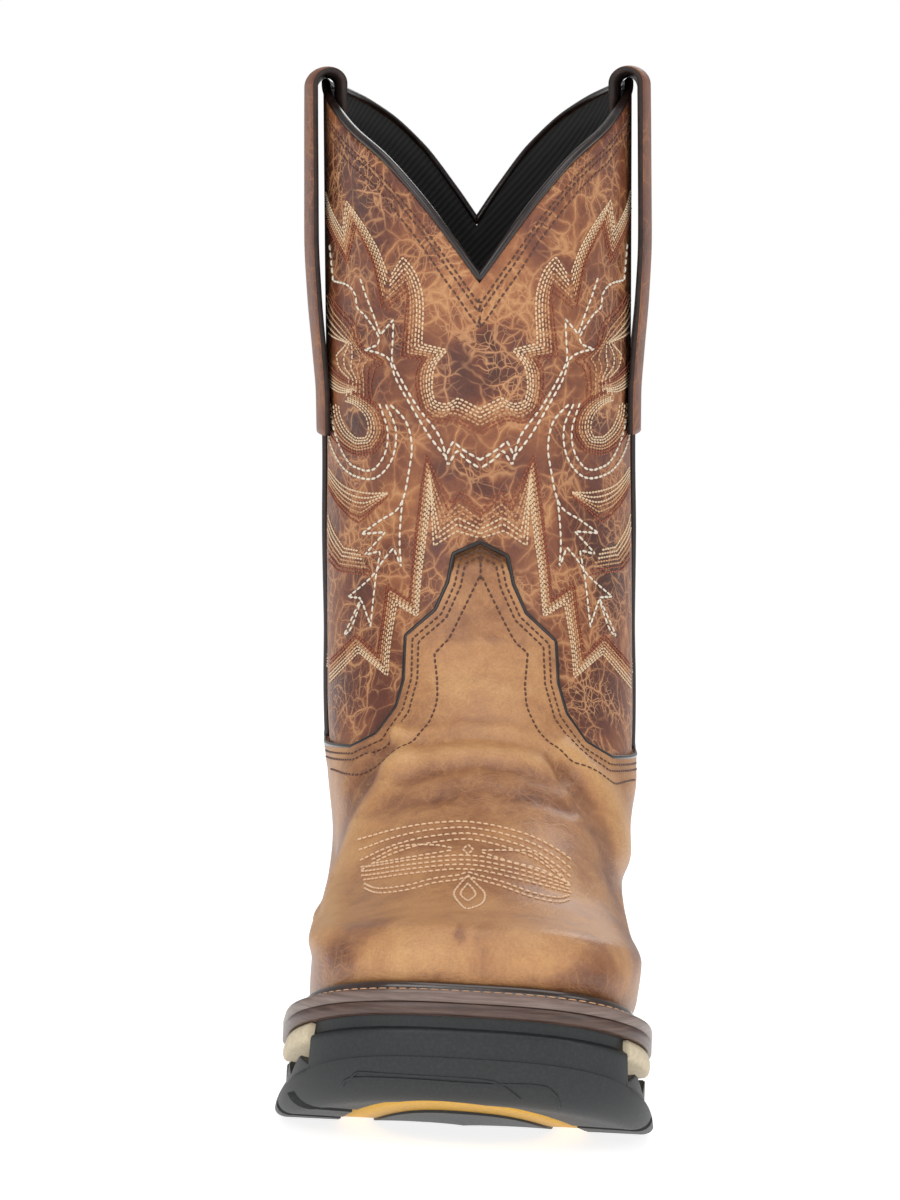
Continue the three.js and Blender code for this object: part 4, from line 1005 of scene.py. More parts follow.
def sewn(name, runs, pitch, length, wide, high, thread, slot, lift=None):
    """Stitches at an even pitch along runs on the last. A run is levels, turns and a distance off the skin,
    and lift adds the height of a creased surface there."""
    paths, normals = [], []
    for number, (level, turn, out) in enumerate(runs):
        run = run_of(off_skin(level, turn, out))
        count = max(1, int(round(run[-1] / pitch)))
        shift = STAGGER * (-1) ** (number // MIRRORS)
        centre = (np.arange(count) + 0.5 + shift) * run[-1] / count
        stops = centre[:, None] + STITCH_RINGS * length / 2
        at = [np.interp(stops, run, values) for values in (level, turn, np.broadcast_to(out, level.shape))]
        rise = lift(at[0], at[1]) if lift else 0.0
        paths.append(off_skin(at[0], at[1], at[2] + rise + high * STITCH_STAND * STITCH_GIRTH))
        normals.append(skin_normal(at[0], at[1]))
    stitch_mesh(name, np.concatenate(paths), np.concatenate(normals), wide, high, thread, slot)


MET = 1.5  # a target is left out when the skin doesn't come this near to it, as beyond the shaft's outline
NEWTON_STEPS = 8
LEVEL_STRIDE = 0.02
TURN_STRIDE = 0.05


def find_on_skin(targets, look, levels, turns_range, out=0.0):
    """Levels and turns of the places that look, two numbers for a point, maps onto the targets: the nearest
    knot of a net over the skin, then steps by the slopes there, each held to a longest stride."""
    level, turn = (a.ravel() for a in np.meshgrid(levels, turns_range, indexing="ij"))
    net = look(off_skin(level, turn, out))
    nearest = np.array([np.argmin(((net - target) ** 2).sum(1)) for target in targets])
    level, turn = level[nearest], turn[nearest]
    small = 1e-4
    for _ in range(NEWTON_STEPS):
        here = look(off_skin(level, turn, out))
        by_level = (look(off_skin(level + small, turn, out)) - here) / small
        by_turn = (look(off_skin(level, turn + small, out)) - here) / small
        miss = targets - here
        scale = by_level[:, 0] * by_turn[:, 1] - by_level[:, 1] * by_turn[:, 0]
        climb = (miss[:, 0] * by_turn[:, 1] - miss[:, 1] * by_turn[:, 0]) / scale
        swing = (by_level[:, 0] * miss[:, 1] - by_level[:, 1] * miss[:, 0]) / scale
        level = level + np.clip(climb, -LEVEL_STRIDE, LEVEL_STRIDE)
        turn = turn + np.clip(swing, -TURN_STRIDE, TURN_STRIDE)
    met = np.linalg.norm(look(off_skin(level, turn, out)) - targets, axis=1) < MET
    return level[met], turn[met]


CORNER = 0.75  # a chart's line that turns by more than this, in radians, keeps a sharp corner


def drawn(chart, spacing, corner=CORNER):
    """A line through a chart's points: curved through gentle bends by cubic pieces, sharp at its corners."""
    points = np.array(chart, float)
    step = np.diff(points, axis=0)
    heading = np.arctan2(step[:, 1], step[:, 0])
    bend = np.abs((np.diff(heading) + np.pi) % (2 * np.pi) - np.pi)
    stops = [0, *(np.nonzero(bend > corner)[0] + 1), len(points) - 1]
    t = np.linspace(0, 1, 12, endpoint=False)[:, None]
    parts = []
    for first, last in zip(stops[:-1], stops[1:]):
        p = points[first:last + 1]
        p = np.concatenate([[2 * p[0] - p[1]], p, [2 * p[-1] - p[-2]]])
        for a, b, c, d in zip(p[:-3], p[1:-2], p[2:-1], p[3:]):
            bow, swing = 2 * a - 5 * b + 4 * c - d, 3 * b - a - 3 * c + d
            parts.append(0.5 * (2 * b + (c - a) * t + bow * t**2 + swing * t**3))
    return spaced(np.concatenate([*parts, points[-1:]]), spacing)


# Collar rows: three rows of dark thread below the binding.
collar_runs = []
for below in (3.9, 5.4, 8.2):
    for start in (0.0, np.pi):
        turn = start + np.linspace(-1.34, 1.34, 700)
        edge = collar(turn)
        slope = np.gradient(edge * UPPER_HEIGHT) / (np.gradient(turn) * SHAFT_WIDTH / 2)
        collar_runs.append((edge - below * np.sqrt(1 + slope**2) / UPPER_HEIGHT, turn, 0.0))
sewn("collar_stitches", collar_runs, 2.3, 1.7, 0.36, 0.22, "thread_brown", "piping")


def inside(outline, distance):
    """A flat outline moved to its right by a distance, mitred at its corners."""
    points = np.array(outline, float)
    step = np.diff(points, axis=0)
    step /= np.linalg.norm(step, axis=1, keepdims=True)
    side = np.stack([step[:, 1], -step[:, 0]], -1)
    mean = np.concatenate([side[:1], side[:-1] + side[1:], side[-1:]])
    mean /= np.linalg.norm(mean, axis=1, keepdims=True)
    lean = np.concatenate([side, side[-1:]])
    return points + mean * distance / np.maximum(0.5, (mean * lean).sum(1))[:, None]


def front_look(points):
    """The last seen from the front: distance across from the shaft's middle, and height."""
    return np.stack([points[..., 0] - shaft_shift(points[..., 2]), points[..., 2]], -1)


# Two rows along the vamp's edge, on both sides of the tongue.
FRONT_TURNS = np.linspace(-1.5, 1.5, 90)
VAMP_LEVELS = np.linspace(0.2, 0.5, 60)
ROWS_IN = (2.3, 4.2)
edge_line = VAMP_EDGE[:-1] * [SHAFT_WIDTH, UPPER_HEIGHT] + [0, SEAT_HEIGHT]
vamp_runs = []
for distance in ROWS_IN:
    chart = spaced(inside(edge_line, distance), 1.0)
    chart[:, 0] = np.maximum(chart[:, 0], 0.0)
    for sign in (-1, 1):
        level, turn = find_on_skin(chart * [sign, 1], front_look, VAMP_LEVELS, FRONT_TURNS)
        vamp_runs.append((level, turn, OVERLAY + GAP))

# The single inner row of the vamp, in the photograph's pixels: right of the middle, from the tip down.
VAMP_ROW = [
    (482, 578), (497, 610), (512, 640), (526, 656), (524, 700), (534, 728), (560, 760), (590, 778),
    (607, 786), (628, 780),
]
chart = drawn(VAMP_ROW, 2.0)
level, turn = find_on_skin(chart, picture_place, VAMP_LEVELS, FRONT_TURNS)
for sign in (-1, 1):
    vamp_runs.append((level, sign * turn, OVERLAY + GAP))

# A short row runs straight down from the tongue's tip.
TIP_ROW = (3.0, 13.0)
tip = edge_line[0, 1]
middle_line = np.stack([np.zeros(20), np.linspace(tip - TIP_ROW[0], tip - TIP_ROW[1], 20)], -1)
level, turn = find_on_skin(middle_line, front_look, VAMP_LEVELS, FRONT_TURNS)
vamp_runs.append((level, turn, OVERLAY + GAP))


def side_look(points):
    """The last seen from the side: distance in front of the sole's back, and height."""
    return np.stack([-points[..., 1], points[..., 2]], -1)


# Two rows along the counter's edge, from near the middle of the back to near the side seams.
COUNTER_BACK = 13.5
SEAM_CLEAR = 2.0
BACK_TURNS = np.linspace(1.5, 3.1, 81)
counter_line = COUNTER_EDGE * [SEAM_FORE, UPPER_HEIGHT] + [0, SEAT_HEIGHT]
for distance in ROWS_IN:
    chart = spaced(inside(counter_line, distance), 1.0)
    chart = chart[(chart[:, 0] > COUNTER_BACK) & (chart[:, 0] < SEAM_FORE - SEAM_CLEAR)]
    level, turn = find_on_skin(chart, side_look, VAMP_LEVELS, BACK_TURNS)
    for sign in (-1, 1):
        vamp_runs.append((level, sign * turn, OVERLAY + GAP))
sewn("edge_stitches", vamp_runs, 2.1, 1.55, 0.36, 0.26, "thread_brown", "piping", folds)

# The shaft's flames, left half, in the photograph's pixels: each pair of lines is a band's pale and dark edge,
# and the rows of stitches between them go from pale thread to dark.
FLAMES = {
    "heart": (
        [(391, 276), (403, 257), (415, 272), (423, 299), (422, 344), (447, 350), (435, 366), (432, 387),
         (435, 402), (447, 404), (458, 398), (486, 412)],
        [(385, 309), (408, 290), (407, 300), (405, 318), (401, 357), (422, 359), (416, 372), (416, 390),
         (422, 412), (437, 423), (454, 421), (486, 437)],
    ),
    "crown": (
        [(323, 180), (331, 208), (343, 231), (347, 201), (362, 222), (378, 249), (388, 275)],
        [(324, 215), (333, 236), (347, 264), (356, 226), (366, 248), (374, 268), (382, 309)],
    ),
    "wing": (
        [(322, 301), (323, 322), (331, 335), (348, 343), (337, 355), (340, 368), (350, 379), (347, 396)],
        [(330, 293), (339, 307), (356, 326), (361, 347), (384, 362), (375, 368), (371, 385), (373, 399)],
    ),
    "drop": (
        [(346, 401), (356, 405), (366, 416), (369, 429), (366, 438), (356, 438), (347, 429), (341, 416),
         (339, 404)],
        [(353, 391), (373, 402), (384, 416), (386, 435), (375, 452), (356, 455), (338, 444), (327, 426),
         (323, 404)],
    ),
    "lower_wing": (
        [(322, 448), (329, 468), (344, 486), (366, 493), (388, 493)],
        [(324, 468), (332, 495), (347, 515), (359, 523), (388, 496)],
    ),
    "lower_point": (
        [(325, 498), (332, 527), (344, 548), (359, 551)],
        [(322, 518), (327, 554), (338, 571), (372, 576)],
    ),
    "spear": (
        [(431, 480), (429, 512), (425, 545), (421, 577), (418, 617), (397, 604), (394, 621), (390, 648),
         (388, 676), (359, 652), (326, 686)],
        [(426, 455), (421, 486), (416, 527), (412, 565), (409, 600), (386, 584), (384, 606), (380, 633),
         (377, 655), (356, 634), (326, 664)],
    ),
    "peak": (
        [(431, 483), (432, 515), (434, 546), (457, 531), (486, 540)],
        [(427, 457), (438, 479), (451, 504), (460, 491), (486, 517)],
    ),
    "brow": (
        [(322, 372), (328, 384), (340, 392), (352, 392)],
        [(322, 352), (330, 366), (344, 378), (362, 386)],
    ),
}
BAND_ROWS = ["thread_cream"] * 3 + ["thread_tan"] * 2 + ["thread_rust"] * 2
SHAFT_LEVELS = np.linspace(0.3, 1, 70)
LEFT_TURNS = np.linspace(-1.5, 0.3, 60)
flame_runs = {thread: [] for thread in BAND_ROWS}


PANEL_SIDE = -1.42  # the flames stop here, short of the side seam
PANEL_MIDDLE = 0.01
FEWEST = 6  # points that a row needs


def both_panels(level, turn):
    """A run on the left half of the front, with its mirror images on the right half and on the back."""
    kept = (turn < PANEL_MIDDLE) & (turn > PANEL_SIDE)
    level, turn = level[kept], turn[kept]
    mirrored = (turn, -turn, np.pi - turn, np.pi + turn)
    return [(level, t, 0.0) for t in mirrored] if len(level) >= FEWEST else []


for pale, deep in FLAMES.values():
    for share, thread in zip(np.linspace(0, 1, len(BAND_ROWS)), BAND_ROWS):
        chart = drawn(mix(np.array(pale, float), np.array(deep, float), share), 3.0)
        flame_runs[thread] += both_panels(*find_on_skin(chart, picture_place, SHAFT_LEVELS, LEFT_TURNS))
for thread, runs in flame_runs.items():
    sewn(f"flames_{thread}", runs, 1.6, 1.24, 0.35, 0.32, thread, "shaft_leather")

# The vines, left half: single rows of thicker pale thread with bigger stitches, over and beside the flames.
VINES = [
    [(330, 242), (334, 281), (348, 285), (356, 295), (358, 308), (366, 316), (379, 336), (378, 345),
     (365, 350), (379, 353), (390, 360), (396, 378), (408, 400), (429, 435), (446, 457), (453, 441), (465, 451),
     (486, 463)],
    [(361, 279), (367, 297), (374, 315), (381, 335), (394, 319), (393, 345), (393, 362), (404, 384),
     (418, 407), (440, 437), (448, 466), (457, 450), (467, 460), (486, 472)],
    [(385, 402), (396, 428), (394, 455), (382, 474), (367, 479), (346, 470), (332, 446), (325, 410)],
    [(380, 404), (388, 430), (386, 452), (376, 468), (366, 471), (350, 463), (338, 440), (331, 412)],
    [(389, 403), (406, 421), (412, 444), (410, 467), (401, 505), (380, 521), (362, 534), (386, 532),
     (365, 555), (381, 551), (376, 580), (371, 627)],
    [(403, 500), (401, 520), (400, 545), (402, 568), (394, 548), (384, 560), (372, 577), (349, 597),
     (362, 598), (345, 635), (352, 628), (362, 600), (371, 625)],
]
vine_runs = []
for chart in VINES:
    found = find_on_skin(drawn(chart, 3.0), picture_place, SHAFT_LEVELS, LEFT_TURNS)
    vine_runs += both_panels(*found)
sewn("vines", vine_runs, 2.7, 2.1, 0.42, 0.42, "thread_white", "shaft_leather")

# The toe's fan of peach thread, in the photograph's pixels: rows that close up over the middle, two lens
# shapes, flatter rows, a wavy braid and a drop.
FAN_TOP = np.array([
    (361, 843), (384, 833), (415, 826), (446, 822.5), (470.5, 822.5), (501, 827.5), (532, 837), (557, 850),
    (570, 859.5),
])
FAN_GAP = np.interp(FAN_TOP[:, 0], [361, 401, 468, 534, 570], [11.5, 8.5, 6.8, 8.0, 10.5])
BRAID = [
    (364, 884), (379, 889), (407, 886), (434, 879), (457, 876), (468, 873), (479, 876), (501, 882),
    (532, 893), (557, 898), (569, 895.5),
]
FAN_CLOSE = 0.85
TOE_LEVELS = np.linspace(0.06, 0.3, 60)
TOE_CORNER = 1.2
TOE_ROWS = [FAN_TOP + np.stack([0 * FAN_GAP, k * FAN_GAP * FAN_CLOSE], -1) for k in range(4)]
TOE_ROWS += [
    [(373, 860), (401, 847), (434, 845.5), (454, 849)], [(373, 864), (415, 857), (454, 850.5)],
    [(482, 851), (512, 851), (534, 854), (565, 879)], [(482, 853), (509, 862), (540, 870), (568, 884)],
    [(463, 850), (468, 845), (473, 850), (468, 855), (463, 850)],
    BRAID, np.array(BRAID) + [0, 4.5],
    [(468, 876), (458, 887), (454, 895.5), (462, 906.5), (468, 909.5), (482, 904), (484.5, 894), (476, 884.5),
     (468, 876)],
    [(468, 884), (462, 891), (461, 896), (468, 902), (476, 896), (474, 891), (468, 884)],
]
TOE_ROWS += [
    [
        (363, 868 + 4.2 * k), (415, 860 + 4.5 * k), (468, 856 + 4.6 * k), (518, 865 + 4.8 * k),
        (571, 884 + 3 * k),
    ]
    for k in range(4)
]
toe_runs = []
for chart in TOE_ROWS:
    line = drawn(chart, 2.0, TOE_CORNER)
    level, turn = find_on_skin(line, picture_place, TOE_LEVELS, FRONT_TURNS, OVERLAY + GAP)
    toe_runs.append((level, turn, OVERLAY + GAP))
sewn("toe_stitches", toe_runs, 2.2, 1.75, 0.45, 0.38, "thread_peach", "vamp_leather", folds)


# Welt: a strip of burnished leather sewn round the upper's foot, with a polished raised bead beside the upper.
# A seam of thick thread beside the bead holds it to the midsole.
WELT = 3.6
BEAD_WIDTH = 3.0
BEAD_HEIGHT = 2.9
SWELL = 1.0
WELT_TUCK = 4.0


def worked(name, tones, size, stretch, bump_by, rough, coat=0.0):
    """A material with streaks or soft specks: noise of a size in millimetres, stretched along x and y, goes
    through a ramp of tones, varies the gloss and roughens the surface by a depth in millimetres."""
    material, shader = new_material(name)
    at = add_node(
        material, "ShaderNodeVectorMath", {"operation": "MULTIPLY"}, in0=millimetres(material),
        in1=(1 / stretch, 1 / stretch, 1),
    ).outputs[0]
    speck = add_node(
        material, "ShaderNodeTexNoise", Vector=at, Scale=1 / size, Detail=6.0, Roughness=0.6
    ).outputs["Fac"]
    colour = add_node(material, "ShaderNodeValToRGB", stops=tones, Fac=speck).outputs["Color"]
    uneven = add_node(
        material, "ShaderNodeMapRange", in0=speck, in1=0.3, in2=0.7, in3=rough - 0.07, in4=rough + 0.07
    ).outputs[0]
    bump = add_node(
        material, "ShaderNodeBump", Height=speck, Strength=0.6, Distance=bump_by * MM
    ).outputs["Normal"]
    feed(
        material, shader,
        Base_Color=colour, Roughness=uneven, Normal=bump, Coat_Weight=coat, Coat_Roughness=0.25,
    )
    return material


# Brushed and waxed leather edge: grey-brown streaks along the welt. The bead beside the upper is polished, and
# the midsole's edge below is stained darker.
welt_leather = worked(
    "brushed_welt_leather", [(0.3, "#5c4a43"), (0.5, "#77635a"), (0.7, "#92807a")], 1.2, 14.0, 0.12, 0.4, 0.2
)
bead_leather = worked("polished_welt_bead", [(0.35, "#241712"), (0.65, "#3c2a22")], 2.0, 5.0, 0.04, 0.16, 0.6)
midsole_leather = worked(
    "stained_midsole_edge", [(0.3, "#3a2821"), (0.5, "#523c34"), (0.7, "#684f45")], 1.0, 14.0, 0.15, 0.4, 0.15
)


def even_turns(count, samples=20001, start=0.0):
    """Turns round the sole whose places on its outline stand evenly apart, from a share of a step on."""
    turn = np.linspace(0, 2 * np.pi, samples)
    run = run_of(sole_edge(turn, 0))
    return np.interp((np.arange(count) + start) / count * run[-1], run, turn)


def sole_share(turn, inset):
    """Share of the sole's length of a point on its outline, set in by a distance."""
    return 0.5 + np.cos(turn) * (0.5 - inset / SOLE_LENGTH)


def sole_edge(turn, inset, up=0.0):
    """The sole's outline drawn in by a distance, at a height."""
    inner = np.sin(turn) >= 0
    across = half_width(SOLE_FORM, (1 + np.cos(turn)) / 2, inner) * (1 - inset / SOLE_FORM["inner"])
    return at_place(sole_share(turn, inset) * SOLE_LENGTH, np.where(inner, 1, -1) * across, up)


def foot_line(turn, margin, up):
    """The upper's foot line grown by a margin, at a height above the welt's top."""
    line = {key: RINGS[key][0] for key in RING_COLUMNS}
    inner = np.sin(turn) >= 0
    share = (1 + np.cos(turn)) / 2
    fore = mix(line["back"] * SOLE_LENGTH - margin, line["front"] * SOLE_LENGTH + margin, share)
    across = half_width(line, share, inner) * FOOT_WIDTH + margin * rounding(line, share)
    return at_place(fore, np.where(inner, 1, -1) * across, sole_top(fore / SOLE_LENGTH) + up)


def sole_ring(turn, profile):
    """A ring round the sole: profile lists [inset, height as a function of the share of the length]."""
    loops = [sole_edge(turn, inset, height(sole_share(turn, inset))) for inset, height in profile]
    return np.stack(loops, 1)


SOLE_COLUMNS = 720
sole_turns = even_turns(SOLE_COLUMNS)
wall = 2 * GAP + OVERLAY
welt_outer = [(0.0, -WELT), (0.0, -2.2), (-0.05, -1.2), (0.1, -0.6), (0.4, -0.15), (0.9, 0.0)]
welt_loops = [
    sole_edge(sole_turns, inset, sole_top(sole_share(sole_turns, inset)) + up) for inset, up in welt_outer
]
bead_angle = np.radians([180, 155, 125, 95, 65, 35, 5])
bead_foot = wall + SWELL
welt_loops += [
    foot_line(sole_turns, bead_foot + BEAD_WIDTH / 2 * (1 - np.cos(angle)), BEAD_HEIGHT * np.sin(angle))
    for angle in bead_angle
]
welt_loops += [foot_line(sole_turns, wall, 0.0), foot_line(sole_turns, -WELT_TUCK, 0.0)]
welt_loops += [foot_line(sole_turns, -WELT_TUCK, -WELT)]
welt_paint = np.zeros(len(welt_loops), int)
welt_paint[len(welt_outer):len(welt_outer) + len(bead_angle)] = 1
welt = body("welt_strip", np.stack(welt_loops, 1), [welt_leather, bead_leather], True, paint=welt_paint)
fixed(welt, "welt_leather", "welt")

# The welt's seam: long tan stitches of thick thread in a line outside the bead.
WELT_STITCH = 3.2
WELT_THREAD = 0.36
WELT_STITCH_HALF = 0.4  # in pitches
WELT_STITCH_STAND = 0.12
seam_margin = bead_foot + BEAD_WIDTH + 1.0
seam_turns = np.linspace(0, 2 * np.pi, 6001)
run = run_of(foot_line(seam_turns, seam_margin, 0.0))
count = int(run[-1] / WELT_STITCH)
stops = (np.arange(count)[:, None] + 0.5 + STITCH_RINGS * WELT_STITCH_HALF) * run[-1] / count
at_turn = np.interp(stops, run, seam_turns)
stitch_mesh(
    "welt_stitches", foot_line(at_turn, seam_margin, WELT_STITCH_STAND * STITCH_GIRTH),
    np.broadcast_to([0.0, 0.0, 1.0], (*at_turn.shape, 3)), WELT_THREAD, 0.5 * WELT_THREAD,
    "thread_tan", "welt_leather",
)


# Insole: a leather footbed inside the boot that fills the welt's opening, its upper edge bevelled.
INSOLE = 4.0

# Vegetable-tanned leather, unfinished: an even dull tan with fine pores.
inner_leather = worked(
    "vegetable_tanned_leather", [(0.3, "#7a6348"), (0.5, "#8c7355"), (0.7, "#9b8264")], 0.9, 1.0, 0.12, 0.8
)
half_turns = np.linspace(0, np.pi, 160)[1:-1]
footbed_profile = [
    (-WELT_TUCK - GAP, -WELT), (-WELT_TUCK - GAP, GAP), (-2.7, GAP), (-2.7, INSOLE - 1), (-4.2, INSOLE),
]
side_loops = [[foot_line(t, margin, up) for margin, up in footbed_profile] for t in (half_turns, -half_turns)]
footbed = body(
    "footbed", np.concatenate([np.stack(side_loops[0], 1), np.stack(side_loops[1], 1)[:, ::-1]], 1),
    [inner_leather], False,
)
fixed(footbed, "inner_leather", "insole")


# Midsole: a second layer of leather under the welt, cemented and sewn to it, its edge rounded and stained
# darker than the welt's.
MIDSOLE = 3.6
MIDSOLE_WIDTH = 14.0


def under_welt(below):
    """A height that lies below the welt's underside by a distance, with the gap between them."""
    return lambda share: sole_top(share) - WELT - GAP - below


midsole_profile = [
    (MIDSOLE_WIDTH, under_welt(0)), (MIDSOLE_WIDTH, under_welt(MIDSOLE)), (0.9, under_welt(MIDSOLE)),
    (0.3, under_welt(MIDSOLE - 0.3)), (0.0, under_welt(MIDSOLE - 0.9)), (0.0, under_welt(0.3)),
    (0.3, under_welt(0)),
]
midsole = body("midsole_edge", sole_ring(sole_turns, midsole_profile), [midsole_leather], True)
fixed(midsole, "welt_leather", "midsole")


# Cushion: a layer of pale foam, moulded to shape and cemented between the leather and the black rubber. It
# shows along the sides and round the heel, and the toe bumper covers it in front.
OUTSOLE_FOREPART = 10.0
OUTSOLE_HEEL = 17.0
SHANK = 9.0
ARCH_HEIGHT = 13.0
TOE_SPRING = 18.0
HEEL_BREAST = 0.265
FOREPART_START = 0.43
ROCKER_START = 0.74
BUMPER_START = 0.94
WALL_INSET = 1.6
WALL_BACK = 4.5
BAND_SHARE = 0.45

# Moulded EVA foam: a dull beige skin with faint clouds. Moulded rubber: near black, finely matt, with a soft
# grey bloom. Both grains are drawn at about a millimetre, coarser than real, so that they show.
cushion_foam = worked(
    "moulded_eva_foam", [(0.3, "#c2b193"), (0.5, "#cfc0a3"), (0.7, "#d8cbb0")], 1.5, 1.0, 0.08, 0.65
)
black_rubber = worked(
    "moulded_black_rubber", [(0.3, "#1b1d1e"), (0.5, "#222526"), (0.7, "#2c2f30")], 1.1, 1.0, 0.1, 0.5
)


def tread(share):
    """Height of the tread: flat under heel and forefoot, arched between them, lifted by a power at the toe."""
    arch = ARCH_HEIGHT * (1 - smooth((share - HEEL_BREAST - 0.03) / (FOREPART_START - HEEL_BREAST - 0.03)))
    toe = TOE_SPRING * np.clip((share - ROCKER_START) / (1 - ROCKER_START), 0, None) ** 1.7
    return np.where(share <= HEEL_BREAST, 0, np.where(share < FOREPART_START, arch, toe))


def rubber_top(share):
    """Top of the rubber: rises from the heel onto the waist, falls to the forepart, follows the toe's lift."""
    shank = mix(OUTSOLE_HEEL, ARCH_HEIGHT + SHANK, smooth((share - 0.22) / 0.06))
    forepart = mix(shank, OUTSOLE_FOREPART, smooth((share - 0.34) / 0.12))
    return forepart + np.where(share > ROCKER_START, tread(share), 0)


def under_midsole(share):
    """Underside of the midsole, with the gap below it."""
    return sole_top(share) - WELT - MIDSOLE - 2 * GAP


def foam_rise(climb):
    """A height that lies a share of the way from the rubber's top to the midsole."""
    return lambda share: mix(rubber_top(share) + GAP, under_midsole(share), climb)


cushion_profile = [
    (16.0, foam_rise(1.0)), (16.0, foam_rise(0.0)), (WALL_BACK, foam_rise(0.0)), (WALL_BACK, foam_rise(0.52)),
    (1.6, foam_rise(0.56)), (0.7, foam_rise(0.62)), (0.3, foam_rise(0.72)), (0.3, foam_rise(0.84)),
    (0.7, foam_rise(0.94)), (1.4, foam_rise(1.0)),
]
covered = (1 + np.cos(sole_turns)) / 2 >= BUMPER_START
loops = []
for inset, height in cushion_profile:
    depth = np.where(covered, np.maximum(inset, WALL_BACK), inset)
    loops.append(sole_edge(sole_turns, depth, height(sole_share(sole_turns, depth))))
cushion = body("cushion_band", np.stack(loops, 1), [cushion_foam], True)
fixed(cushion, "cushion_foam", "cushion")


# Outsole: one block of moulded black rubber with a heel, a thin waist, a wall that climbs in pointed fingers
# beside the foam, and a bumper that wraps the toe. Grooves part its edge into lugs.
FLARE = 1.5
TREAD_EDGE = (3.0, 2.5)
TOE_ROLL = (11.0, 11.0)
RIM = 2.6
TREAD_FLAT = 24.0  # how far in from the edge the tread is drawn in steps
WALL_TEETH = np.array([
    [0.0004, 0.9], [0.04, 0.9], [0.065, 0.1], [0.115, 0.1], [0.16, 0.8], [0.2, 0.1], [0.245, 0.05],
    [0.4, 0.05], [0.48, 0.2], [0.52, 0.9], [0.55, 0.1], [0.62, 0.95], [0.65, 0.1], [0.72, 0.95], [0.75, 0.1],
    [0.815, 0.95], [0.84, 0.2], [0.87, 0.8], [0.89, 0.1], [0.92, 0.7], [BUMPER_START, 0.2],
])
GROOVES = [
    (0.085, 0.4), (0.165, 0.4), (0.5, 0.45), (0.565, 0.58), (0.63, 0.58), (0.695, 0.58), (0.76, 0.58),
    (0.825, 0.58), (0.885, 0.55),
]
GROOVE_WIDTH = 5.0
LUG_DEPTH = 4.5
GROOVE_SIDES = (-0.5, -0.5, 0.5, 0.5)
BELOW = -20.0  # where the cuts start, under the tread
CHANNEL = (0.735, 146.0, 78.0, 2.5)  # an oval: place as a share of the length, length, width and power
POD = (0.715, 120.0, 56.0, 2.6)
LEDGE_RECESS = 1.8
LEDGE_FALL = 5.4
SHARP = np.radians(38)


def settled(share, spot):
    """Only the toe's lift follows a point's own place, so that the heel's breast stays square."""
    return np.where(share > ROCKER_START, spot, share)


def outsole_grid(turn):
    """For each turn a line from the middle of the top, down the side wall, and in under the tread to the
    middle."""
    share = (1 + np.cos(turn)) / 2
    toe = smooth((share - 0.8) / 0.2)
    width, height = mix(TREAD_EDGE[0], TOE_ROLL[0], toe), mix(TREAD_EDGE[1], TOE_ROLL[1], toe)
    flare = -FLARE * (1 - toe)
    bumper = share > BUMPER_START
    inset = mix(WALL_INSET, 0.4, toe)
    back = np.full(turn.shape, WALL_INSET + RIM)

    def point(depth, up):
        return sole_edge(turn, depth, up)

    def floor_at(depth):
        return tread(settled(share, sole_share(turn, depth)))

    def top_at(depth):
        return rubber_top(settled(share, sole_share(turn, depth)))

    def wall_at(depth):
        ceiling = under_midsole(sole_share(turn, depth))
        climb = np.maximum(0.05, np.interp(share, WALL_TEETH[:, 0], WALL_TEETH[:, 1]))
        side = mix(top_at(depth), mix(ceiling, top_at(depth), BAND_SHARE) - 2 * GAP, climb)
        return np.where(bumper, ceiling - GAP, side)

    deep = np.full(turn.shape, 12.0)
    middle = np.full(turn.shape, SOLE_FORM["inner"] - 0.01)
    low = np.minimum(top_at(inset), wall_at(inset) - GAP)
    recess, fall = np.where(bumper, LEDGE_RECESS, 0.5), np.where(bumper, LEDGE_FALL, 0.4)
    lines = [point(depth, top_at(depth)) for depth in (middle, deep, back)]
    lines += [point(back, wall_at(back))]
    lines += [
        point(inset + recess * out, wall_at(inset) - fall * down)
        for out, down in ((1, 0), (1, 0.5), (0.95, 0.62), (0.6, 0.7), (0.2, 0.76), (0.04, 0.86), (0, 1))
    ]
    lines += [point(inset, mix(wall_at(inset) - fall, low, t)) for t in (0.2, 0.4, 0.6, 0.8)]
    foot = floor_at(flare) + height
    lines += [point(mix(inset, flare, smooth(t)), mix(low, foot, t)) for t in np.linspace(0, 1, 9)]
    lines += [
        point(mix(flare, width, 1 - np.cos(t)), mix(foot, floor_at(width), np.sin(t)))
        for t in np.linspace(0.15, np.pi / 2, 8)
    ]
    under = [mix(width, TREAD_FLAT, t) for t in (0.25, 0.5, 0.75, 1.0)] + [middle]
    lines += [point(depth, floor_at(depth)) for depth in under]
    return np.stack(lines, 1)


outsole = body("outsole_block", outsole_grid(even_turns(900, 40001, 0.5)), [black_rubber], True)


def oval(shape, angle):
    """Distance along and to the side of an oval outline: a superellipse of the given power."""
    place, length, width, power = shape
    round_of = [np.sign(v) * np.abs(v) ** (2 / power) for v in (np.sin(angle), np.cos(angle))]
    return place * SOLE_LENGTH + length / 2 * round_of[0], width / 2 * round_of[1]


def tread_point(fore, side, above):
    """A point at a height above the tread: its own place without the toe's slant, which the height allows
    for."""
    height = tread((fore - slant(fore) * side) / SOLE_LENGTH) + above
    return np.stack(np.broadcast_arrays(side, -fore, height), -1).astype(float)


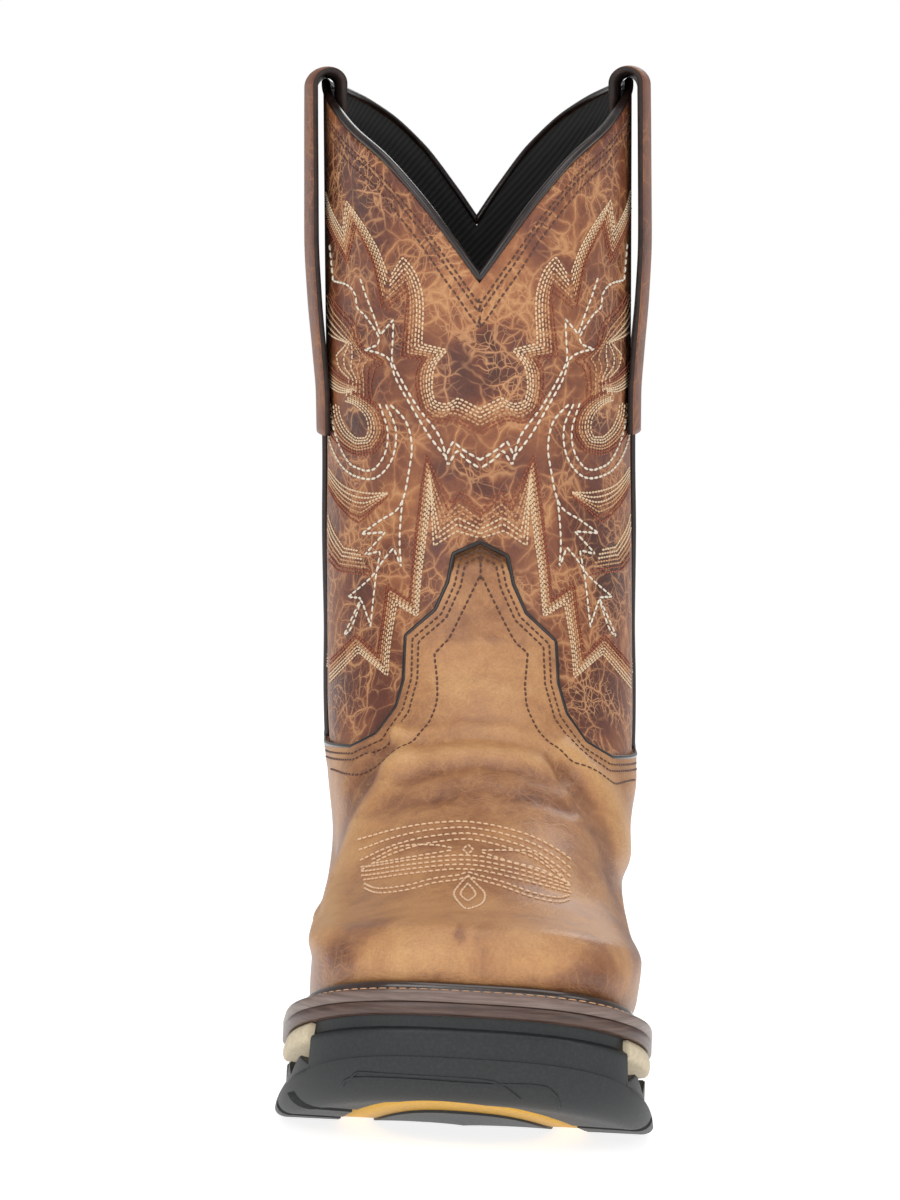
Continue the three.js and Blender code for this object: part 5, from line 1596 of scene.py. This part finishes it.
angles = np.arange(120) / 120 * 2 * np.pi
edges = [(CHANNEL, BELOW), (CHANNEL, LUG_DEPTH), (POD, LUG_DEPTH), (POD, BELOW)]
ring_cut = np.stack([tread_point(*oval(shape, angles), above) for shape, above in edges], 1)
cutters = [body("channel_cut", ring_cut, [black_rubber], True)]
for number, (place, reach) in enumerate(GROOVES):
    for sign in (-1, 1):
        across = sign * np.linspace(reach * FOOT_WIDTH / 2, FOOT_WIDTH, 12)
        fores = place * SOLE_LENGTH + np.array(GROOVE_SIDES) * GROOVE_WIDTH
        heights = [BELOW, LUG_DEPTH, LUG_DEPTH, BELOW]
        box = np.stack([tread_point(fore, across, up) for fore, up in zip(fores, heights)], 1)
        cutters.append(body(f"groove_cut_{number}_{sign + 1}", box, [black_rubber], False))
for cutter in cutters:
    cut = outsole.modifiers.new(cutter.name, "BOOLEAN")
    cut.object = cutter
    cut.solver = "EXACT"
bpy.context.view_layer.update()
carved = bpy.data.meshes.new_from_object(outsole.evaluated_get(bpy.context.evaluated_depsgraph_get()))
outsole.modifiers.clear()
outsole.data = carved
for cutter in cutters:
    bpy.data.objects.remove(cutter)
fixed(merged(outsole), "black_rubber", "outsole")
carved.set_sharp_from_angle(angle=SHARP)

# Mould lines on the toe bumper, in the photograph's pixels: a thin raised lip that borders the tread.
MOULD_LINES = [
    [(347, 1082), (357, 1072), (400, 1075), (480, 1080), (502, 1086), (520, 1099)],
    [(342, 1086), (352, 1078), (402, 1079), (480, 1084), (540, 1086), (557, 1096), (560, 1108)],
]
LIP = 0.45
corners, polygons = [v.co for v in carved.vertices], [list(f.vertices) for f in carved.polygons]
sole_tree = BVHTree.FromPolygons(corners, polygons)
for number, chart in enumerate(MOULD_LINES):
    hits = []
    for across, down in drawn(chart, 3.0):
        ray = VIEW + RIGHT * (across - FRAME_WIDTH / 2) / FOCAL - UP * (down - FRAME_HEIGHT / 2) / FOCAL
        hits.append(sole_tree.ray_cast(Vector(CAMERA_AT), Vector(ray / np.linalg.norm(ray)))[:2])
    path = np.array([list(place) for place, facing in hits if place is not None]) / MM - SHIFT
    facing = np.array([list(facing) for place, facing in hits if place is not None])
    lip = body(f"mould_line_{number}", tube(path, facing, LIP, LIP, 6), [black_rubber], False)
    fixed(lip, "black_rubber")


# Tread insert: a ring of yellow rubber, moulded into the channel round the centre pod under the forefoot. Its
# moulded rubber is finely matt, with faint darker and paler clouds.
insert_rubber = worked(
    "moulded_yellow_rubber", [(0.3, "#c48f04"), (0.5, "#d9a308"), (0.7, "#e5b11c")], 1.4, 1.0, 0.08, 0.5
)
INSERT_LIFT = 1.0
INSERT_RIMS = [
    (CHANNEL, -GAP, INSERT_LIFT), (CHANNEL, -GAP, LUG_DEPTH - GAP),
    (POD, GAP, LUG_DEPTH - GAP), (POD, GAP, INSERT_LIFT),
]
insert_ring = [
    tread_point(*oval((place, length + 2 * grow, width + 2 * grow, power), angles), above)
    for (place, length, width, power), grow, above in INSERT_RIMS
]
insert = body("yellow_tread_strip", np.stack(insert_ring, 1), [insert_rubber], True)
fixed(insert, "insert_rubber", "tread_insert")
